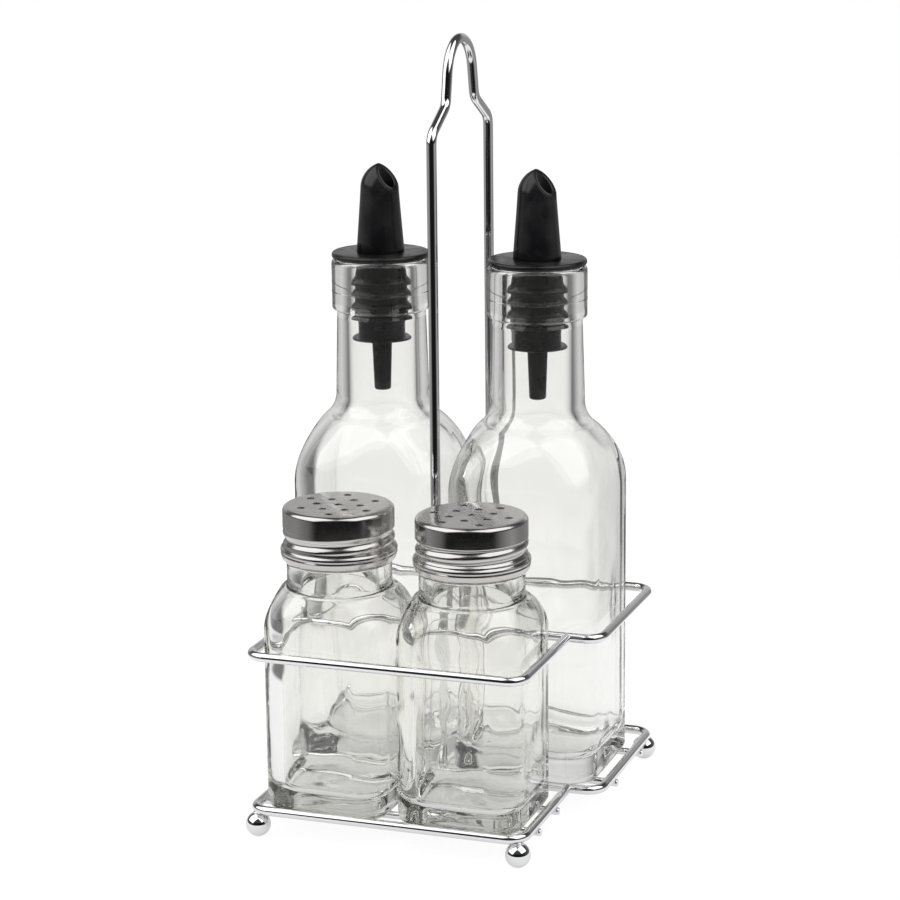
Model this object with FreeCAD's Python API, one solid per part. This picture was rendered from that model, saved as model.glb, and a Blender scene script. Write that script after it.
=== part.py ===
import FreeCAD, Part
import math
import os
from FreeCAD import Vector

# Cruet set: a chromed wire stand with a tall carrying handle holds two square
# glass bottles with pouring stoppers behind two square glass shakers.
# Origin at the bottom centre, +X right, +Y back, +Z up, millimetres.

# Stand: wires and outline
ring_wire_d = 3.0
handle_wire_d = 3.2
cross_wire_d = 2.4
weld_sink = 0.3
ball_d = 8.0
foot_flat = 0.1
ring_bend_r = 5.5
guard_rise = 50.8
cross_overhang = 1.7
shaker_wire_gap = 19.0
bottle_wire_gap = 29.8

# Room between the glass and the wires round it
bottle_side_room = 2.2
bottle_front_room = 0.3
bottle_back_room = 7.3
bottle_row_gap = 3.0
jar_side_room = 0.85
jar_front_room = 0.3
jar_back_room = 4.1
jar_row_gap = 3.1

# Carrying handle: centre-line sizes above the base ring
handle_top_rise = 236.4
handle_neck_rise = 216.4
handle_shoulder_rise = 208.6
handle_neck_w = 27.8
handle_crown_w = 20.0
handle_bend_r = 5.0
crown_bend_share = 0.999

# Glass bottle
bottle_side = 50.4
bottle_corner_r = 10.0
panel_bulge_r = 900.0
dome_lead = 4.0
dome_steps = 7
round_split = math.radians(25)
bottle_h = 166.5
bottle_wall = 3.0
bottle_base_t = 8.0
bottle_heel_r = 3.0
bottle_inner_heel_r = 5.0
bottle_body_h = 94.0
bottle_dome_rise = 22.0
bottle_dome_end = 70.0
bottle_dome_flare = 3.6
bottle_blend_rise = 7.4
bottle_neck_low_d = 30.6
bottle_neck_top_d = 29.0
bottle_neck_wall = 3.5
bottle_lip_step = 1.7
bottle_lip_h = 16.6
bottle_lip_r = 1.6
bottle_mouth_step = 1.0

# Pouring stopper
flange_step = 0.25
flange_t = 2.0
flange_round_share = 0.45
rib_count = 4
rib_room = 0.15
rib_depth = 2.2
rib_pitch = 3.8
rib_t = 2.2
rib_start = 6.2
rib_slope_share = 0.6
rib_edge_share = 0.8
stopper_core_h = 26.0
disc_room = 0.3
disc_t = 1.5
disc_edge_share = 0.35
disc_low_share = 0.75
pour_bore_d = 5.4
tube_top_d = 6.6
tube_low_d = 5.4
tube_round = 0.8
tube_h = 16.2
tube_bore_d = 2.6
tube_plug = 3.0
spout_base_d = 15.6
spout_mid_d = 12.4
spout_mid_rise = 20.0
spout_h = 28.6
spout_dome_d = 10.2
spout_dome_rise = 24.8
spout_tip_d = 1.0
spout_mouth_drop = 0.6
spout_mouth_shift = 1.2
spout_cut_angle = 54.0
spout_facing = -12.0

# Glass shaker
jar_side = 41.0
jar_corner_r = 8.0
jar_h = 96.4
jar_wall = 2.8
jar_base_t = 6.0
jar_heel_r = 3.0
jar_inner_heel_r = 4.0
jar_body_h = 58.5
jar_dome_rise = 12.6
jar_dome_end = 78.0
jar_dome_flare = 1.6
jar_blend_rise = 1.6
jar_neck_d = 33.2
jar_neck_h = 7.0
jar_finish_step = 0.9
jar_rim_r = 1.0
jar_mouth_wall = 3.2

# Shaker cap: thin pressed sheet
cap_sheet_t = 0.45
cap_h = 17.4
cap_thread_room = 0.6
cap_band_step = 0.85
cap_band_h = 7.2
cap_edge_r = 1.9
cap_edge_share = 0.3
cap_groove_slope = 0.5
cap_groove_h = 0.5
cap_bead_step = 0.9
cap_bead_slope = 0.7
cap_bead_h = 3.0
cap_hem_step = 1.7
cap_hem_top_z = 4.4
cap_hem_low_z = 3.4
cap_rim_step = 0.5
hole_d = 2.1
hole_pitch = 7.0
ring_holes = 6
left_cap_turn = 7.5
right_cap_turn = 30.5

# Clearances between loose pieces, and how far tools run past the stock
seat_gap = 0.1
stopper_gap = 0.05
overrun = 1.0
overlap = 0.5

# Heights and places worked out from the sizes above
base_ring_z = ball_d - foot_flat - weld_sink + ring_wire_d / 2
guard_ring_z = base_ring_z + guard_rise
cross_wire_z = base_ring_z - (ring_wire_d + cross_wire_d) / 2 + weld_sink
glass_floor_z = cross_wire_z + cross_wire_d / 2 + seat_gap
bottle_spacing = bottle_side + bottle_row_gap
shaker_spacing = jar_side + jar_row_gap
rear_ring_w = bottle_spacing + bottle_side + 2 * bottle_side_room + ring_wire_d
rear_ring_depth = bottle_front_room + bottle_side + bottle_back_room + ring_wire_d
front_loop_w = shaker_spacing + jar_side + 2 * jar_side_room + ring_wire_d
front_loop_depth = jar_front_room + jar_side + jar_back_room + ring_wire_d
stand_depth = rear_ring_depth + front_loop_depth
front_y = -stand_depth / 2
back_y = stand_depth / 2
middle_y = front_y + front_loop_depth
handle_inset = (ring_wire_d + handle_wire_d) / 2 - weld_sink
bottle_y = middle_y + ring_wire_d / 2 + bottle_front_room + bottle_side / 2
shaker_y = front_y + ring_wire_d / 2 + jar_front_room + jar_side / 2
bottle_top_z = glass_floor_z + bottle_h
flange_z = bottle_top_z + seat_gap
jar_top_z = glass_floor_z + jar_h

# Diameters that fit into or onto each other
bottle_neck_bore_d = bottle_neck_top_d - 2 * bottle_neck_wall
bottle_mouth_d = bottle_neck_bore_d - 2 * bottle_mouth_step
bottle_lip_d = bottle_neck_top_d + 2 * bottle_lip_step
flange_d = bottle_lip_d - 2 * flange_step
rib_d = bottle_mouth_d - 2 * rib_room
stopper_core_d = rib_d - 2 * rib_depth
disc_d = bottle_mouth_d - 2 * disc_room
jar_finish_d = jar_neck_d - 2 * jar_finish_step
jar_mouth_d = jar_finish_d - 2 * jar_mouth_wall
cap_groove_d = jar_finish_d + 2 * (cap_thread_room + cap_sheet_t)
cap_band_d = cap_groove_d + 2 * cap_band_step
cap_bead_d = cap_groove_d + 2 * cap_bead_step
cap_hem_d = cap_groove_d + 2 * cap_hem_step
cap_rim_d = cap_groove_d + 2 * cap_rim_step


def bend_frame(before, corner, after, radius):
    """Start, end and centre of the bend of this radius that rounds a corner."""
    back = (before - corner).normalize()
    ahead = (after - corner).normalize()
    half_angle = back.getAngle(ahead) / 2
    reach = radius / math.tan(half_angle)
    centre = corner + (back + ahead).normalize() * (radius / math.sin(half_angle))
    return corner + back * reach, corner + ahead * reach, centre


def straight_wire(start, end, diameter):
    """Straight round wire between two points."""
    return Part.makeCylinder(diameter / 2, (end - start).Length, start, end - start)


def wire_bend(start, end, centre, heading, diameter):
    """Bend of round wire about a centre, from start to end."""
    section = Part.Face(Part.Wire(Part.makeCircle(diameter / 2, start, heading)))
    arm = start - centre
    axis = arm.cross(heading)
    degrees = math.degrees(arm.getAngle(end - centre))
    return section.revolve(centre, axis, degrees)


def bent_wire(points, radii, diameter, closed=False):
    """Round wire along straight runs joined by tangent bends, one radius for each corner."""
    count = len(points)
    corners = range(count) if closed else range(1, count - 1)
    bends = []
    for index, radius in zip(corners, radii):
        bends.append(bend_frame(points[index - 1], points[index], points[(index + 1) % count], radius))
    runs = []
    pieces = []
    place = bends[-1][1] if closed else points[0]
    for index, (start, end, centre) in zip(corners, bends):
        heading = points[index] - points[index - 1]
        if (start - place).Length > 0.01:
            runs.append(straight_wire(place, start, diameter))
        pieces.append(wire_bend(start, end, centre, heading, diameter))
        place = end
    if not closed:
        runs.append(straight_wire(place, points[-1], diameter))
    return runs[0].fuse(runs[1:] + pieces)


def wire_ring(width, y_low, y_high, z):
    """Closed rectangular ring of wire, bent at its four corners."""
    half = width / 2
    corners = [
        Vector(-half, y_low, z),
        Vector(half, y_low, z),
        Vector(half, y_high, z),
        Vector(-half, y_high, z),
    ]
    return bent_wire(corners, [ring_bend_r] * 4, ring_wire_d, True)


def front_loop(z, ring):
    """U of wire in front of a ring, its two ends coped to the ring's front wire."""
    half = front_loop_w / 2
    points = [
        Vector(-half, middle_y, z),
        Vector(-half, front_y, z),
        Vector(half, front_y, z),
        Vector(half, middle_y, z),
    ]
    return bent_wire(points, [ring_bend_r] * 2, ring_wire_d).cut(ring)


def carrying_handle():
    """Tall bent handle whose legs run down inside the ring's front and back wires."""
    front_leg = middle_y + handle_inset
    back_leg = back_y - handle_inset
    centre = (front_leg + back_leg) / 2
    low = base_ring_z - ring_wire_d / 2
    shoulder = base_ring_z + handle_shoulder_rise
    neck = base_ring_z + handle_neck_rise
    top = base_ring_z + handle_top_rise
    half_neck = handle_neck_w / 2
    half_crown = handle_crown_w / 2
    lean = math.atan2(half_neck - half_crown, top - neck)
    crown_r = crown_bend_share * half_crown / math.tan((math.pi / 2 - lean) / 2)
    points = [
        Vector(0, front_leg, low),
        Vector(0, front_leg, shoulder),
        Vector(0, centre - half_neck, neck),
        Vector(0, centre - half_crown, top),
        Vector(0, centre + half_crown, top),
        Vector(0, centre + half_neck, neck),
        Vector(0, back_leg, shoulder),
        Vector(0, back_leg, low),
    ]
    radii = [handle_bend_r] * 2 + [crown_r] * 2 + [handle_bend_r] * 2
    return bent_wire(points, radii, handle_wire_d)


def ball_foot(x, y):
    """Ball foot with a small flat, under the bend at a corner given by its centre-lines."""
    inset = ring_bend_r * (1 - math.cos(math.pi / 4))
    centre = Vector(x - math.copysign(inset, x), y - math.copysign(inset, y), ball_d / 2 - foot_flat)
    ball = Part.makeSphere(ball_d / 2, centre)
    corner = centre + Vector(-ball_d / 2, -ball_d / 2, -centre.z - ball_d)
    return ball.cut(Part.makeBox(ball_d, ball_d, ball_d, corner))


def square_section(half, corner_r, split_angle, z):
    """Rounded square of eight tangent arcs, or a circle where corner_r equals half."""
    k = math.cos(split_angle) - math.sin(split_angle)
    side_r = (half - corner_r * k) / (1 - k)
    c = (side_r - corner_r) * math.sin(split_angle)
    edges = []
    for quarter in range(4):
        turn = quarter * math.pi / 2

        def place(x, y):
            """Point of the first quarter turned to this one."""
            cosine = math.cos(turn)
            sine = math.sin(turn)
            return Vector(x * cosine - y * sine, x * sine + y * cosine, z)

        side_x = half - side_r + side_r * math.cos(split_angle)
        side_y = side_r * math.sin(split_angle)
        start = place(side_x, -side_y)
        end = place(side_x, side_y)
        edges.append(Part.Arc(start, place(half, 0), end).toShape())
        reach = c + corner_r * math.cos(math.pi / 4)
        edges.append(Part.Arc(end, place(reach, reach), place(side_y, side_x)).toShape())
    return Part.Wire(edges)


def flat_split(half, corner_r):
    """Split angle that gives a rounded square its nearly flat, slightly bulged sides."""
    q = (panel_bulge_r - half) / (panel_bulge_r - corner_r)
    return math.acos(q / math.sqrt(2)) - math.pi / 4


def revolved(outline):
    """Solid turned about the Z axis from a closed list of (radius, height) corners."""
    points = [Vector(r, 0, z) for r, z in outline]
    face = Part.Face(Part.makePolygon(points + [points[0]]))
    return face.revolve(Vector(0, 0, 0), Vector(0, 0, 1), 360)


def turned(sketch):
    """Solid turned about the Z axis from a closed list of edges in the XZ plane."""
    return Part.Face(Part.Wire(sketch)).revolve(Vector(0, 0, 0), Vector(0, 0, 1), 360)


def square_to_round(
        half, corner_r, base_z, heel_r, dome_z, dome_rise, dome_end, dome_flare, blend_rise, neck_r):
    """Square body with a domed shoulder that runs into a round neck, and where the neck starts."""
    split = flat_split(half, corner_r)
    dome_start = dome_z - dome_lead
    plan = Part.Face(square_section(half, corner_r, split, base_z))
    body = plan.extrude(Vector(0, 0, dome_start - base_z))
    heel = [edge for edge in body.Edges if edge.BoundBox.ZMax < base_z + 0.01]
    body = body.makeFillet(heel_r, heel)
    end_share = 1 - math.cos(math.radians(dome_end))
    dome_low_r = (neck_r + dome_flare - half * (1 - end_share)) / end_share
    sections = [
        square_section(half, corner_r, split, dome_start),
        square_section(half, corner_r, split, dome_z - dome_lead / 2),
    ]
    for step in range(dome_steps):
        angle = math.radians(dome_end * step / (dome_steps - 1))
        share = (1 - math.cos(angle)) / end_share
        size = dome_low_r + (half - dome_low_r) * math.cos(angle)
        corner = corner_r + (size - corner_r) * share
        sections.append(square_section(
            size, corner, split + (round_split - split) * share, dome_z + dome_rise * math.sin(angle)))
    dome = Part.makeLoft(sections, True, False)
    dome_top = dome_z + dome_rise * math.sin(math.radians(dome_end))
    neck_z = dome_top + blend_rise
    blend_r = (dome_flare ** 2 + blend_rise ** 2) / (2 * dome_flare)
    start = Vector(neck_r + dome_flare, 0, dome_top)
    end = Vector(neck_r, 0, neck_z)
    turn = math.asin(blend_rise / blend_r) / 2
    middle = Vector(neck_r + blend_r * (1 - math.cos(turn)), 0, neck_z - blend_r * math.sin(turn))
    blend = turned([
        Part.LineSegment(Vector(0, 0, dome_top), start).toShape(),
        Part.Arc(start, middle, end).toShape(),
        Part.LineSegment(end, Vector(0, 0, neck_z)).toShape(),
        Part.LineSegment(Vector(0, 0, neck_z), Vector(0, 0, dome_top)).toShape(),
    ])
    return body.fuse([dome, blend]), neck_z


def bottle():
    """Hollow square bottle, thick base, domed shoulder, slim neck and a deep glass lip."""
    lip_z = bottle_h - bottle_lip_h
    low_r = bottle_neck_low_d / 2
    top_r = bottle_neck_top_d / 2
    lip_r = bottle_lip_d / 2
    outside, neck_z = square_to_round(
        bottle_side / 2, bottle_corner_r, 0, bottle_heel_r, bottle_body_h, bottle_dome_rise,
        bottle_dome_end, bottle_dome_flare, bottle_blend_rise, low_r)
    neck = revolved([(0, neck_z), (low_r, neck_z), (top_r, lip_z + overlap), (0, lip_z + overlap)])
    lip = Part.makeCylinder(lip_r, bottle_lip_h, Vector(0, 0, lip_z))
    lip = lip.makeFillet(bottle_lip_r, lip.Edges)
    outside = outside.fuse([neck, lip])
    inner_half = bottle_side / 2 - bottle_wall
    bore_r = bottle_neck_bore_d / 2
    mouth_r = bottle_mouth_d / 2
    inside, bore_z = square_to_round(
        inner_half, bottle_corner_r - bottle_wall, bottle_base_t, bottle_inner_heel_r, bottle_body_h,
        bottle_dome_rise - bottle_wall / 2, bottle_dome_end, bottle_dome_flare, bottle_blend_rise, bore_r)
    taper_z = lip_z + bottle_lip_r
    bore = revolved([
        (0, bore_z), (bore_r, bore_z), (bore_r, lip_z - bottle_wall), (mouth_r, taper_z),
        (mouth_r, bottle_h + overrun), (0, bottle_h + overrun)])
    return outside.cut(inside.fuse(bore))


def stopper():
    """Flange, ribbed sleeve and lower disc of the pouring stopper, about its flange's underside."""
    core_r = stopper_core_d / 2
    flange = Part.makeCylinder(flange_d / 2, flange_t)
    flange = flange.makeFillet(flange_t * flange_round_share, flange.Edges)
    core = Part.makeCylinder(core_r, stopper_core_h, Vector(0, 0, -stopper_core_h))
    pieces = [core]
    for index in range(rib_count):
        rib_z = -rib_start - index * rib_pitch
        rib = revolved([
            (0, rib_z), (core_r, rib_z), (rib_d / 2, rib_z - rib_slope_share * rib_t),
            (rib_d / 2, rib_z - rib_edge_share * rib_t), (core_r, rib_z - rib_t), (0, rib_z - rib_t)])
        pieces.append(rib)
    disc_z = -stopper_core_h
    disc = revolved([
        (0, disc_z), (disc_d / 2, disc_z), (disc_d / 2, disc_z - disc_edge_share * disc_t),
        (core_r * disc_low_share, disc_z - disc_t), (0, disc_z - disc_t)])
    pieces.append(disc)
    body = flange.fuse(pieces)
    low = Vector(0, 0, -stopper_core_h - disc_t - overrun)
    bore = Part.makeCylinder(pour_bore_d / 2, flange_t + overrun - low.z, low)
    return body.cut(bore)


def air_tube():
    """Tapered tube plugged into the stopper's lower end."""
    top_z = -stopper_core_h - disc_t
    plug_r = pour_bore_d / 2 - stopper_gap
    tube = revolved([
        (tube_bore_d / 2, top_z + tube_plug), (plug_r, top_z + tube_plug), (plug_r, top_z),
        (tube_top_d / 2, top_z), (tube_low_d / 2, top_z - tube_h + tube_round),
        (tube_low_d / 2 - tube_round, top_z - tube_h), (tube_bore_d / 2, top_z - tube_h)])
    return tube


def spout():
    """Tapered spout with a slanted oval mouth and an open channel, above the flange."""
    base_z = flange_t
    foot = Vector(spout_base_d / 2, 0, base_z)
    waist = Vector(spout_mid_d / 2, 0, base_z + spout_mid_rise)
    brow = Vector(spout_dome_d / 2, 0, base_z + spout_dome_rise)
    tip = Vector(spout_tip_d / 2, 0, base_z + spout_h)
    axis_foot = Vector(0, 0, base_z)
    axis_tip = Vector(0, 0, tip.z)
    body = turned([
        Part.LineSegment(axis_foot, foot).toShape(),
        Part.LineSegment(foot, waist).toShape(),
        Part.Arc(waist, brow, tip).toShape(),
        Part.LineSegment(tip, axis_tip).toShape(),
        Part.LineSegment(axis_tip, axis_foot).toShape(),
    ])
    top_z = base_z + spout_h - spout_mouth_drop
    slope = math.radians(spout_cut_angle)
    facing = math.radians(spout_facing)
    normal = Vector(math.sin(slope) * math.cos(facing), math.sin(slope) * math.sin(facing), math.cos(slope))
    cutter = Part.makeBox(4 * spout_h, 4 * spout_h, 2 * spout_h, Vector(-2 * spout_h, -2 * spout_h, 0))
    cutter.Placement = FreeCAD.Placement(Vector(0, 0, top_z), FreeCAD.Rotation(Vector(0, 0, 1), normal))
    mouth_way = Vector(math.cos(facing), math.sin(facing), 0) * spout_mouth_shift
    low = Vector(0, 0, base_z - overrun)
    high = Vector(0, 0, base_z + spout_h) + mouth_way
    channel = Part.makeCylinder(pour_bore_d / 2, (high - low).Length + overrun, low, high - low)
    return body.cut([cutter, channel])


def jar():
    """Hollow square shaker with a domed shoulder, round neck and a plain finish under the cap."""
    neck_r = jar_neck_d / 2
    outside, neck_z = square_to_round(
        jar_side / 2, jar_corner_r, 0, jar_heel_r, jar_body_h, jar_dome_rise,
        jar_dome_end, jar_dome_flare, jar_blend_rise, neck_r)
    finish_z = neck_z + jar_neck_h
    neck = Part.makeCylinder(neck_r, jar_neck_h, Vector(0, 0, neck_z))
    finish = Part.makeCylinder(jar_finish_d / 2, jar_h - finish_z, Vector(0, 0, finish_z))
    rim = [edge for edge in finish.Edges if edge.BoundBox.ZMin > jar_h - 0.01]
    finish = finish.makeFillet(jar_rim_r, rim)
    outside = outside.fuse([neck, finish])
    bore_r = jar_mouth_d / 2
    inside, bore_z = square_to_round(
        jar_side / 2 - jar_wall, jar_corner_r - jar_wall, jar_base_t, jar_inner_heel_r, jar_body_h,
        jar_dome_rise - jar_wall / 2, jar_dome_end, jar_dome_flare, jar_blend_rise, bore_r)
    bore = Part.makeCylinder(bore_r, jar_h - bore_z + overrun, Vector(0, 0, bore_z))
    return outside.cut(inside.fuse(bore))


def cap():
    """Pressed steel screw cap with a plain band, a thread bead, a rolled hem and a star of shaker holes."""
    band_r = cap_band_d / 2
    groove_top = cap_h - cap_band_h - cap_groove_slope
    groove_low = groove_top - cap_groove_h
    bead_top = groove_low - cap_bead_slope
    bead_low = bead_top - cap_bead_h
    outline = [
        (band_r - cap_edge_r, cap_h),
        (band_r - cap_edge_share * cap_edge_r, cap_h - cap_edge_share * cap_edge_r),
        (band_r, cap_h - cap_edge_r),
        (band_r, cap_h - cap_band_h),
        (cap_groove_d / 2, groove_top),
        (cap_groove_d / 2, groove_low),
        (cap_bead_d / 2, bead_top),
        (cap_bead_d / 2, bead_low),
        (cap_hem_d / 2, cap_hem_top_z),
        (cap_hem_d / 2, cap_hem_low_z),
        (cap_rim_d / 2, 0),
    ]
    inner = [(r - cap_sheet_t, z) for r, z in reversed(outline[1:])]
    inner.append((band_r - cap_edge_r - cap_sheet_t, cap_h - cap_sheet_t))
    inner.append((0, cap_h - cap_sheet_t))
    body = revolved([(0, cap_h)] + outline + inner)
    sector = 2 * math.pi / ring_holes
    holes = [Vector(0, 0, 0)]
    for ring_r, shift in ((hole_pitch, 0), (hole_pitch * math.sqrt(3), sector / 2)):
        for index in range(ring_holes):
            angle = index * sector + shift
            holes.append(Vector(ring_r * math.cos(angle), ring_r * math.sin(angle), 0))
    low = Vector(0, 0, cap_h - cap_sheet_t - overrun)
    drills = [Part.makeCylinder(hole_d / 2, cap_sheet_t + 2 * overrun, hole + low) for hole in holes]
    return body.cut(drills)


def moved(shape, x, y, z, turn=0):
    """Copy of a shape turned about Z and put at a place."""
    result = shape.copy()
    result.rotate(Vector(0, 0, 0), Vector(0, 0, 1), turn)
    result.translate(Vector(x, y, z))
    return result


def build_stand():
    """All pieces of the wire stand, by node name."""
    pieces = {}
    rings = {}
    for level, z in (("base", base_ring_z), ("guard", guard_ring_z)):
        ring = wire_ring(rear_ring_w, middle_y, back_y, z)
        rings[level] = ring
        pieces[level + "_ring"] = ring
        pieces[level + "_front_loop"] = front_loop(z, ring)
    frame_wires = list(pieces.values())
    pieces["carrying_handle"] = carrying_handle().cut(list(rings.values()))
    rows = []
    shaker_wires_y = (front_y + middle_y) / 2
    bottle_wires_y = (middle_y + back_y) / 2
    for half_gap in (-shaker_wire_gap / 2, shaker_wire_gap / 2):
        rows.append((shaker_wires_y + half_gap, front_loop_w))
    for half_gap in (-bottle_wire_gap / 2, bottle_wire_gap / 2):
        rows.append((bottle_wires_y + half_gap, rear_ring_w))
    for index, (y, width) in enumerate(rows):
        reach = width / 2 + cross_overhang
        wire = straight_wire(Vector(-reach, y, cross_wire_z), Vector(reach, y, cross_wire_z), cross_wire_d)
        pieces["cross_wire_%d" % (index + 1)] = wire.cut(frame_wires)
    for side, sign in (("left", -1), ("right", 1)):
        front = ball_foot(sign * front_loop_w / 2, front_y)
        back = ball_foot(sign * rear_ring_w / 2, back_y)
        pieces["front_%s_foot" % side] = front.cut(frame_wires)
        pieces["back_%s_foot" % side] = back.cut(frame_wires)
    return pieces


def build_vessels():
    """Bottles, pourers, shakers and caps, by node name."""
    pieces = {}
    glass_bottle = bottle()
    glass_jar = jar()
    jar_cap = cap()
    pourer = {"stopper": stopper(), "air_tube": air_tube(), "spout": spout()}
    cap_z = jar_top_z + cap_sheet_t + seat_gap - cap_h
    for side, sign, cap_turn in (("left", -1, left_cap_turn), ("right", 1, right_cap_turn)):
        x = sign * bottle_spacing / 2
        pieces[side + "_bottle"] = moved(glass_bottle, x, bottle_y, glass_floor_z)
        for name, shape in pourer.items():
            pieces["%s_pourer_%s" % (side, name)] = moved(shape, x, bottle_y, flange_z)
        x = sign * shaker_spacing / 2
        pieces[side + "_shaker_jar"] = moved(glass_jar, x, shaker_y, glass_floor_z)
        pieces[side + "_shaker_cap"] = moved(jar_cap, x, shaker_y, cap_z, cap_turn)
    return pieces


nodes = build_stand()
nodes.update(build_vessels())
os.makedirs("parts", exist_ok=True)
for node_name, solid in nodes.items():
    if len(solid.Solids) != 1 or not solid.isValid():
        print("check", node_name, len(solid.Solids), solid.isValid())
    solid.exportStep("parts/%s.step" % node_name)
    print(node_name, round(solid.Volume, 1), [round(v, 2) for v in (
        solid.BoundBox.XMin, solid.BoundBox.XMax, solid.BoundBox.YMin, solid.BoundBox.YMax,
        solid.BoundBox.ZMin, solid.BoundBox.ZMax)])
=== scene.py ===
import math

import bpy
from mathutils import Matrix, Vector, noise


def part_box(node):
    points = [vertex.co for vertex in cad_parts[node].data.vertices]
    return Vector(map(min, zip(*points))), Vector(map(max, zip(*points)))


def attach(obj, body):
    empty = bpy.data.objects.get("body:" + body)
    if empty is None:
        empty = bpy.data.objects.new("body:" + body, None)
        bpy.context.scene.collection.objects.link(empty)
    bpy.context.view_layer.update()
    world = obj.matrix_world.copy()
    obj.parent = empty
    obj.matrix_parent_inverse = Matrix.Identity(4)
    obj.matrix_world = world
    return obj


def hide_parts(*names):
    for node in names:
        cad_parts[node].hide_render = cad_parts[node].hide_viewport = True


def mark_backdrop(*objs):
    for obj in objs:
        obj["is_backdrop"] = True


MM = 0.001
TURN = 2 * math.pi

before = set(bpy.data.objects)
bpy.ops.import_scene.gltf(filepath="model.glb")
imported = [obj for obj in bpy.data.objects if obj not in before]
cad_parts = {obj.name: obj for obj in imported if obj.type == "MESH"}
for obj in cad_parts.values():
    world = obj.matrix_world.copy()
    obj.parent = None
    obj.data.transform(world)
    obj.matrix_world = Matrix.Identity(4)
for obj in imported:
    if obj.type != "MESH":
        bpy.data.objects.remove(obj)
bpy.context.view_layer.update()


# Places read from the frame

def node_box(node):
    """Lowest and highest corner of a node, in millimetres."""
    low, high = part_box(node)
    return Vector(low) / MM, Vector(high) / MM


def node_axis(node):
    """Vertical axis of a node and the height of its foot, in millimetres."""
    low, high = node_box(node)
    return Vector(((low.x + high.x) / 2, (low.y + high.y) / 2, low.z))


# Material building

def add_node(tree, kind, place, **values):
    """Node of a kind with its own settings and, for names of inputs, their values."""
    node = tree.nodes.new(kind)
    node.location = place
    for key, value in values.items():
        if hasattr(node, key):
            setattr(node, key, value)
        else:
            node.inputs[key.replace("_", " ")].default_value = value
    return node


def surface_group():
    """Fine unevenness of a surface: a value between two limits, and a height."""
    tree = bpy.data.node_groups.new("surface_unevenness", "ShaderNodeTree")
    tree.interface.new_socket("Place", in_out="INPUT", socket_type="NodeSocketVector")
    for name, value in (("Patch Scale", 60.0), ("Grain Scale", 900.0), ("Low", 0.1), ("High", 0.2)):
        tree.interface.new_socket(name, in_out="INPUT", socket_type="NodeSocketFloat").default_value = value
    tree.interface.new_socket("Value", in_out="OUTPUT", socket_type="NodeSocketFloat")
    tree.interface.new_socket("Height", in_out="OUTPUT", socket_type="NodeSocketFloat")
    entry = add_node(tree, "NodeGroupInput", (-600, 0))
    patches = add_node(tree, "ShaderNodeTexNoise", (-350, 150), Detail=3.0, Roughness=0.6)
    grain = add_node(tree, "ShaderNodeTexNoise", (-350, -150), Detail=2.0)
    spread = add_node(tree, "ShaderNodeMapRange", (-120, 150), interpolation_type="SMOOTHSTEP")
    spread.inputs["From Min"].default_value = 0.35
    spread.inputs["From Max"].default_value = 0.68
    leave = add_node(tree, "NodeGroupOutput", (120, 0))
    link = tree.links.new
    link(entry.outputs["Place"], patches.inputs["Vector"])
    link(entry.outputs["Place"], grain.inputs["Vector"])
    link(entry.outputs["Patch Scale"], patches.inputs["Scale"])
    link(entry.outputs["Grain Scale"], grain.inputs["Scale"])
    link(patches.outputs["Fac"], spread.inputs["Value"])
    link(entry.outputs["Low"], spread.inputs["To Min"])
    link(entry.outputs["High"], spread.inputs["To Max"])
    link(spread.outputs["Result"], leave.inputs["Value"])
    link(grain.outputs["Fac"], leave.inputs["Height"])
    return tree


surface_unevenness = surface_group()


def finish(name, **values):
    """Material with a shader that has these values, its tree and its shader."""
    material = bpy.data.materials.new(name)
    material.use_nodes = True
    shader = material.node_tree.nodes["Principled BSDF"]
    for key, value in values.items():
        shader.inputs[key.replace("_", " ")].default_value = value
    return material, material.node_tree, shader


def uneven(tree, shader, place, patch_scale, grain_scale, low, high, bump, bump_distance):
    """Roughness between two limits and a fine relief, from the surface's own place."""
    group = add_node(tree, "ShaderNodeGroup", (-560, -80), node_tree=surface_unevenness)
    for key, value in (("Patch Scale", patch_scale), ("Grain Scale", grain_scale), ("Low", low), ("High", high)):
        group.inputs[key].default_value = value
    relief = add_node(tree, "ShaderNodeBump", (-260, -260), Strength=bump, Distance=bump_distance)
    link = tree.links.new
    link(place, group.inputs["Place"])
    link(group.outputs["Value"], shader.inputs["Roughness"])
    link(group.outputs["Height"], relief.inputs["Height"])
    link(relief.outputs["Normal"], shader.inputs["Normal"])
    return group


def object_place(tree):
    """Place of a surface point on the finished object."""
    return add_node(tree, "ShaderNodeTexCoord", (-1200, 0)).outputs["Object"]


def chrome_wire_finish():
    """Bright chrome plate over drawn wire."""
    material, tree, shader = finish("chrome_wire_plate", Base_Color=(0.84, 0.84, 0.85, 1), Metallic=1.0)
    uneven(tree, shader, object_place(tree), 90, 700, 0.02, 0.06, 0.04, 0.0002)
    return material


def chrome_ball_finish():
    """Polished chrome plate on the ball feet."""
    material, tree, shader = finish("chrome_ball_plate", Base_Color=(0.84, 0.84, 0.85, 1), Metallic=1.0)
    uneven(tree, shader, object_place(tree), 150, 500, 0.02, 0.06, 0.03, 0.0002)
    return material


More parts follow.
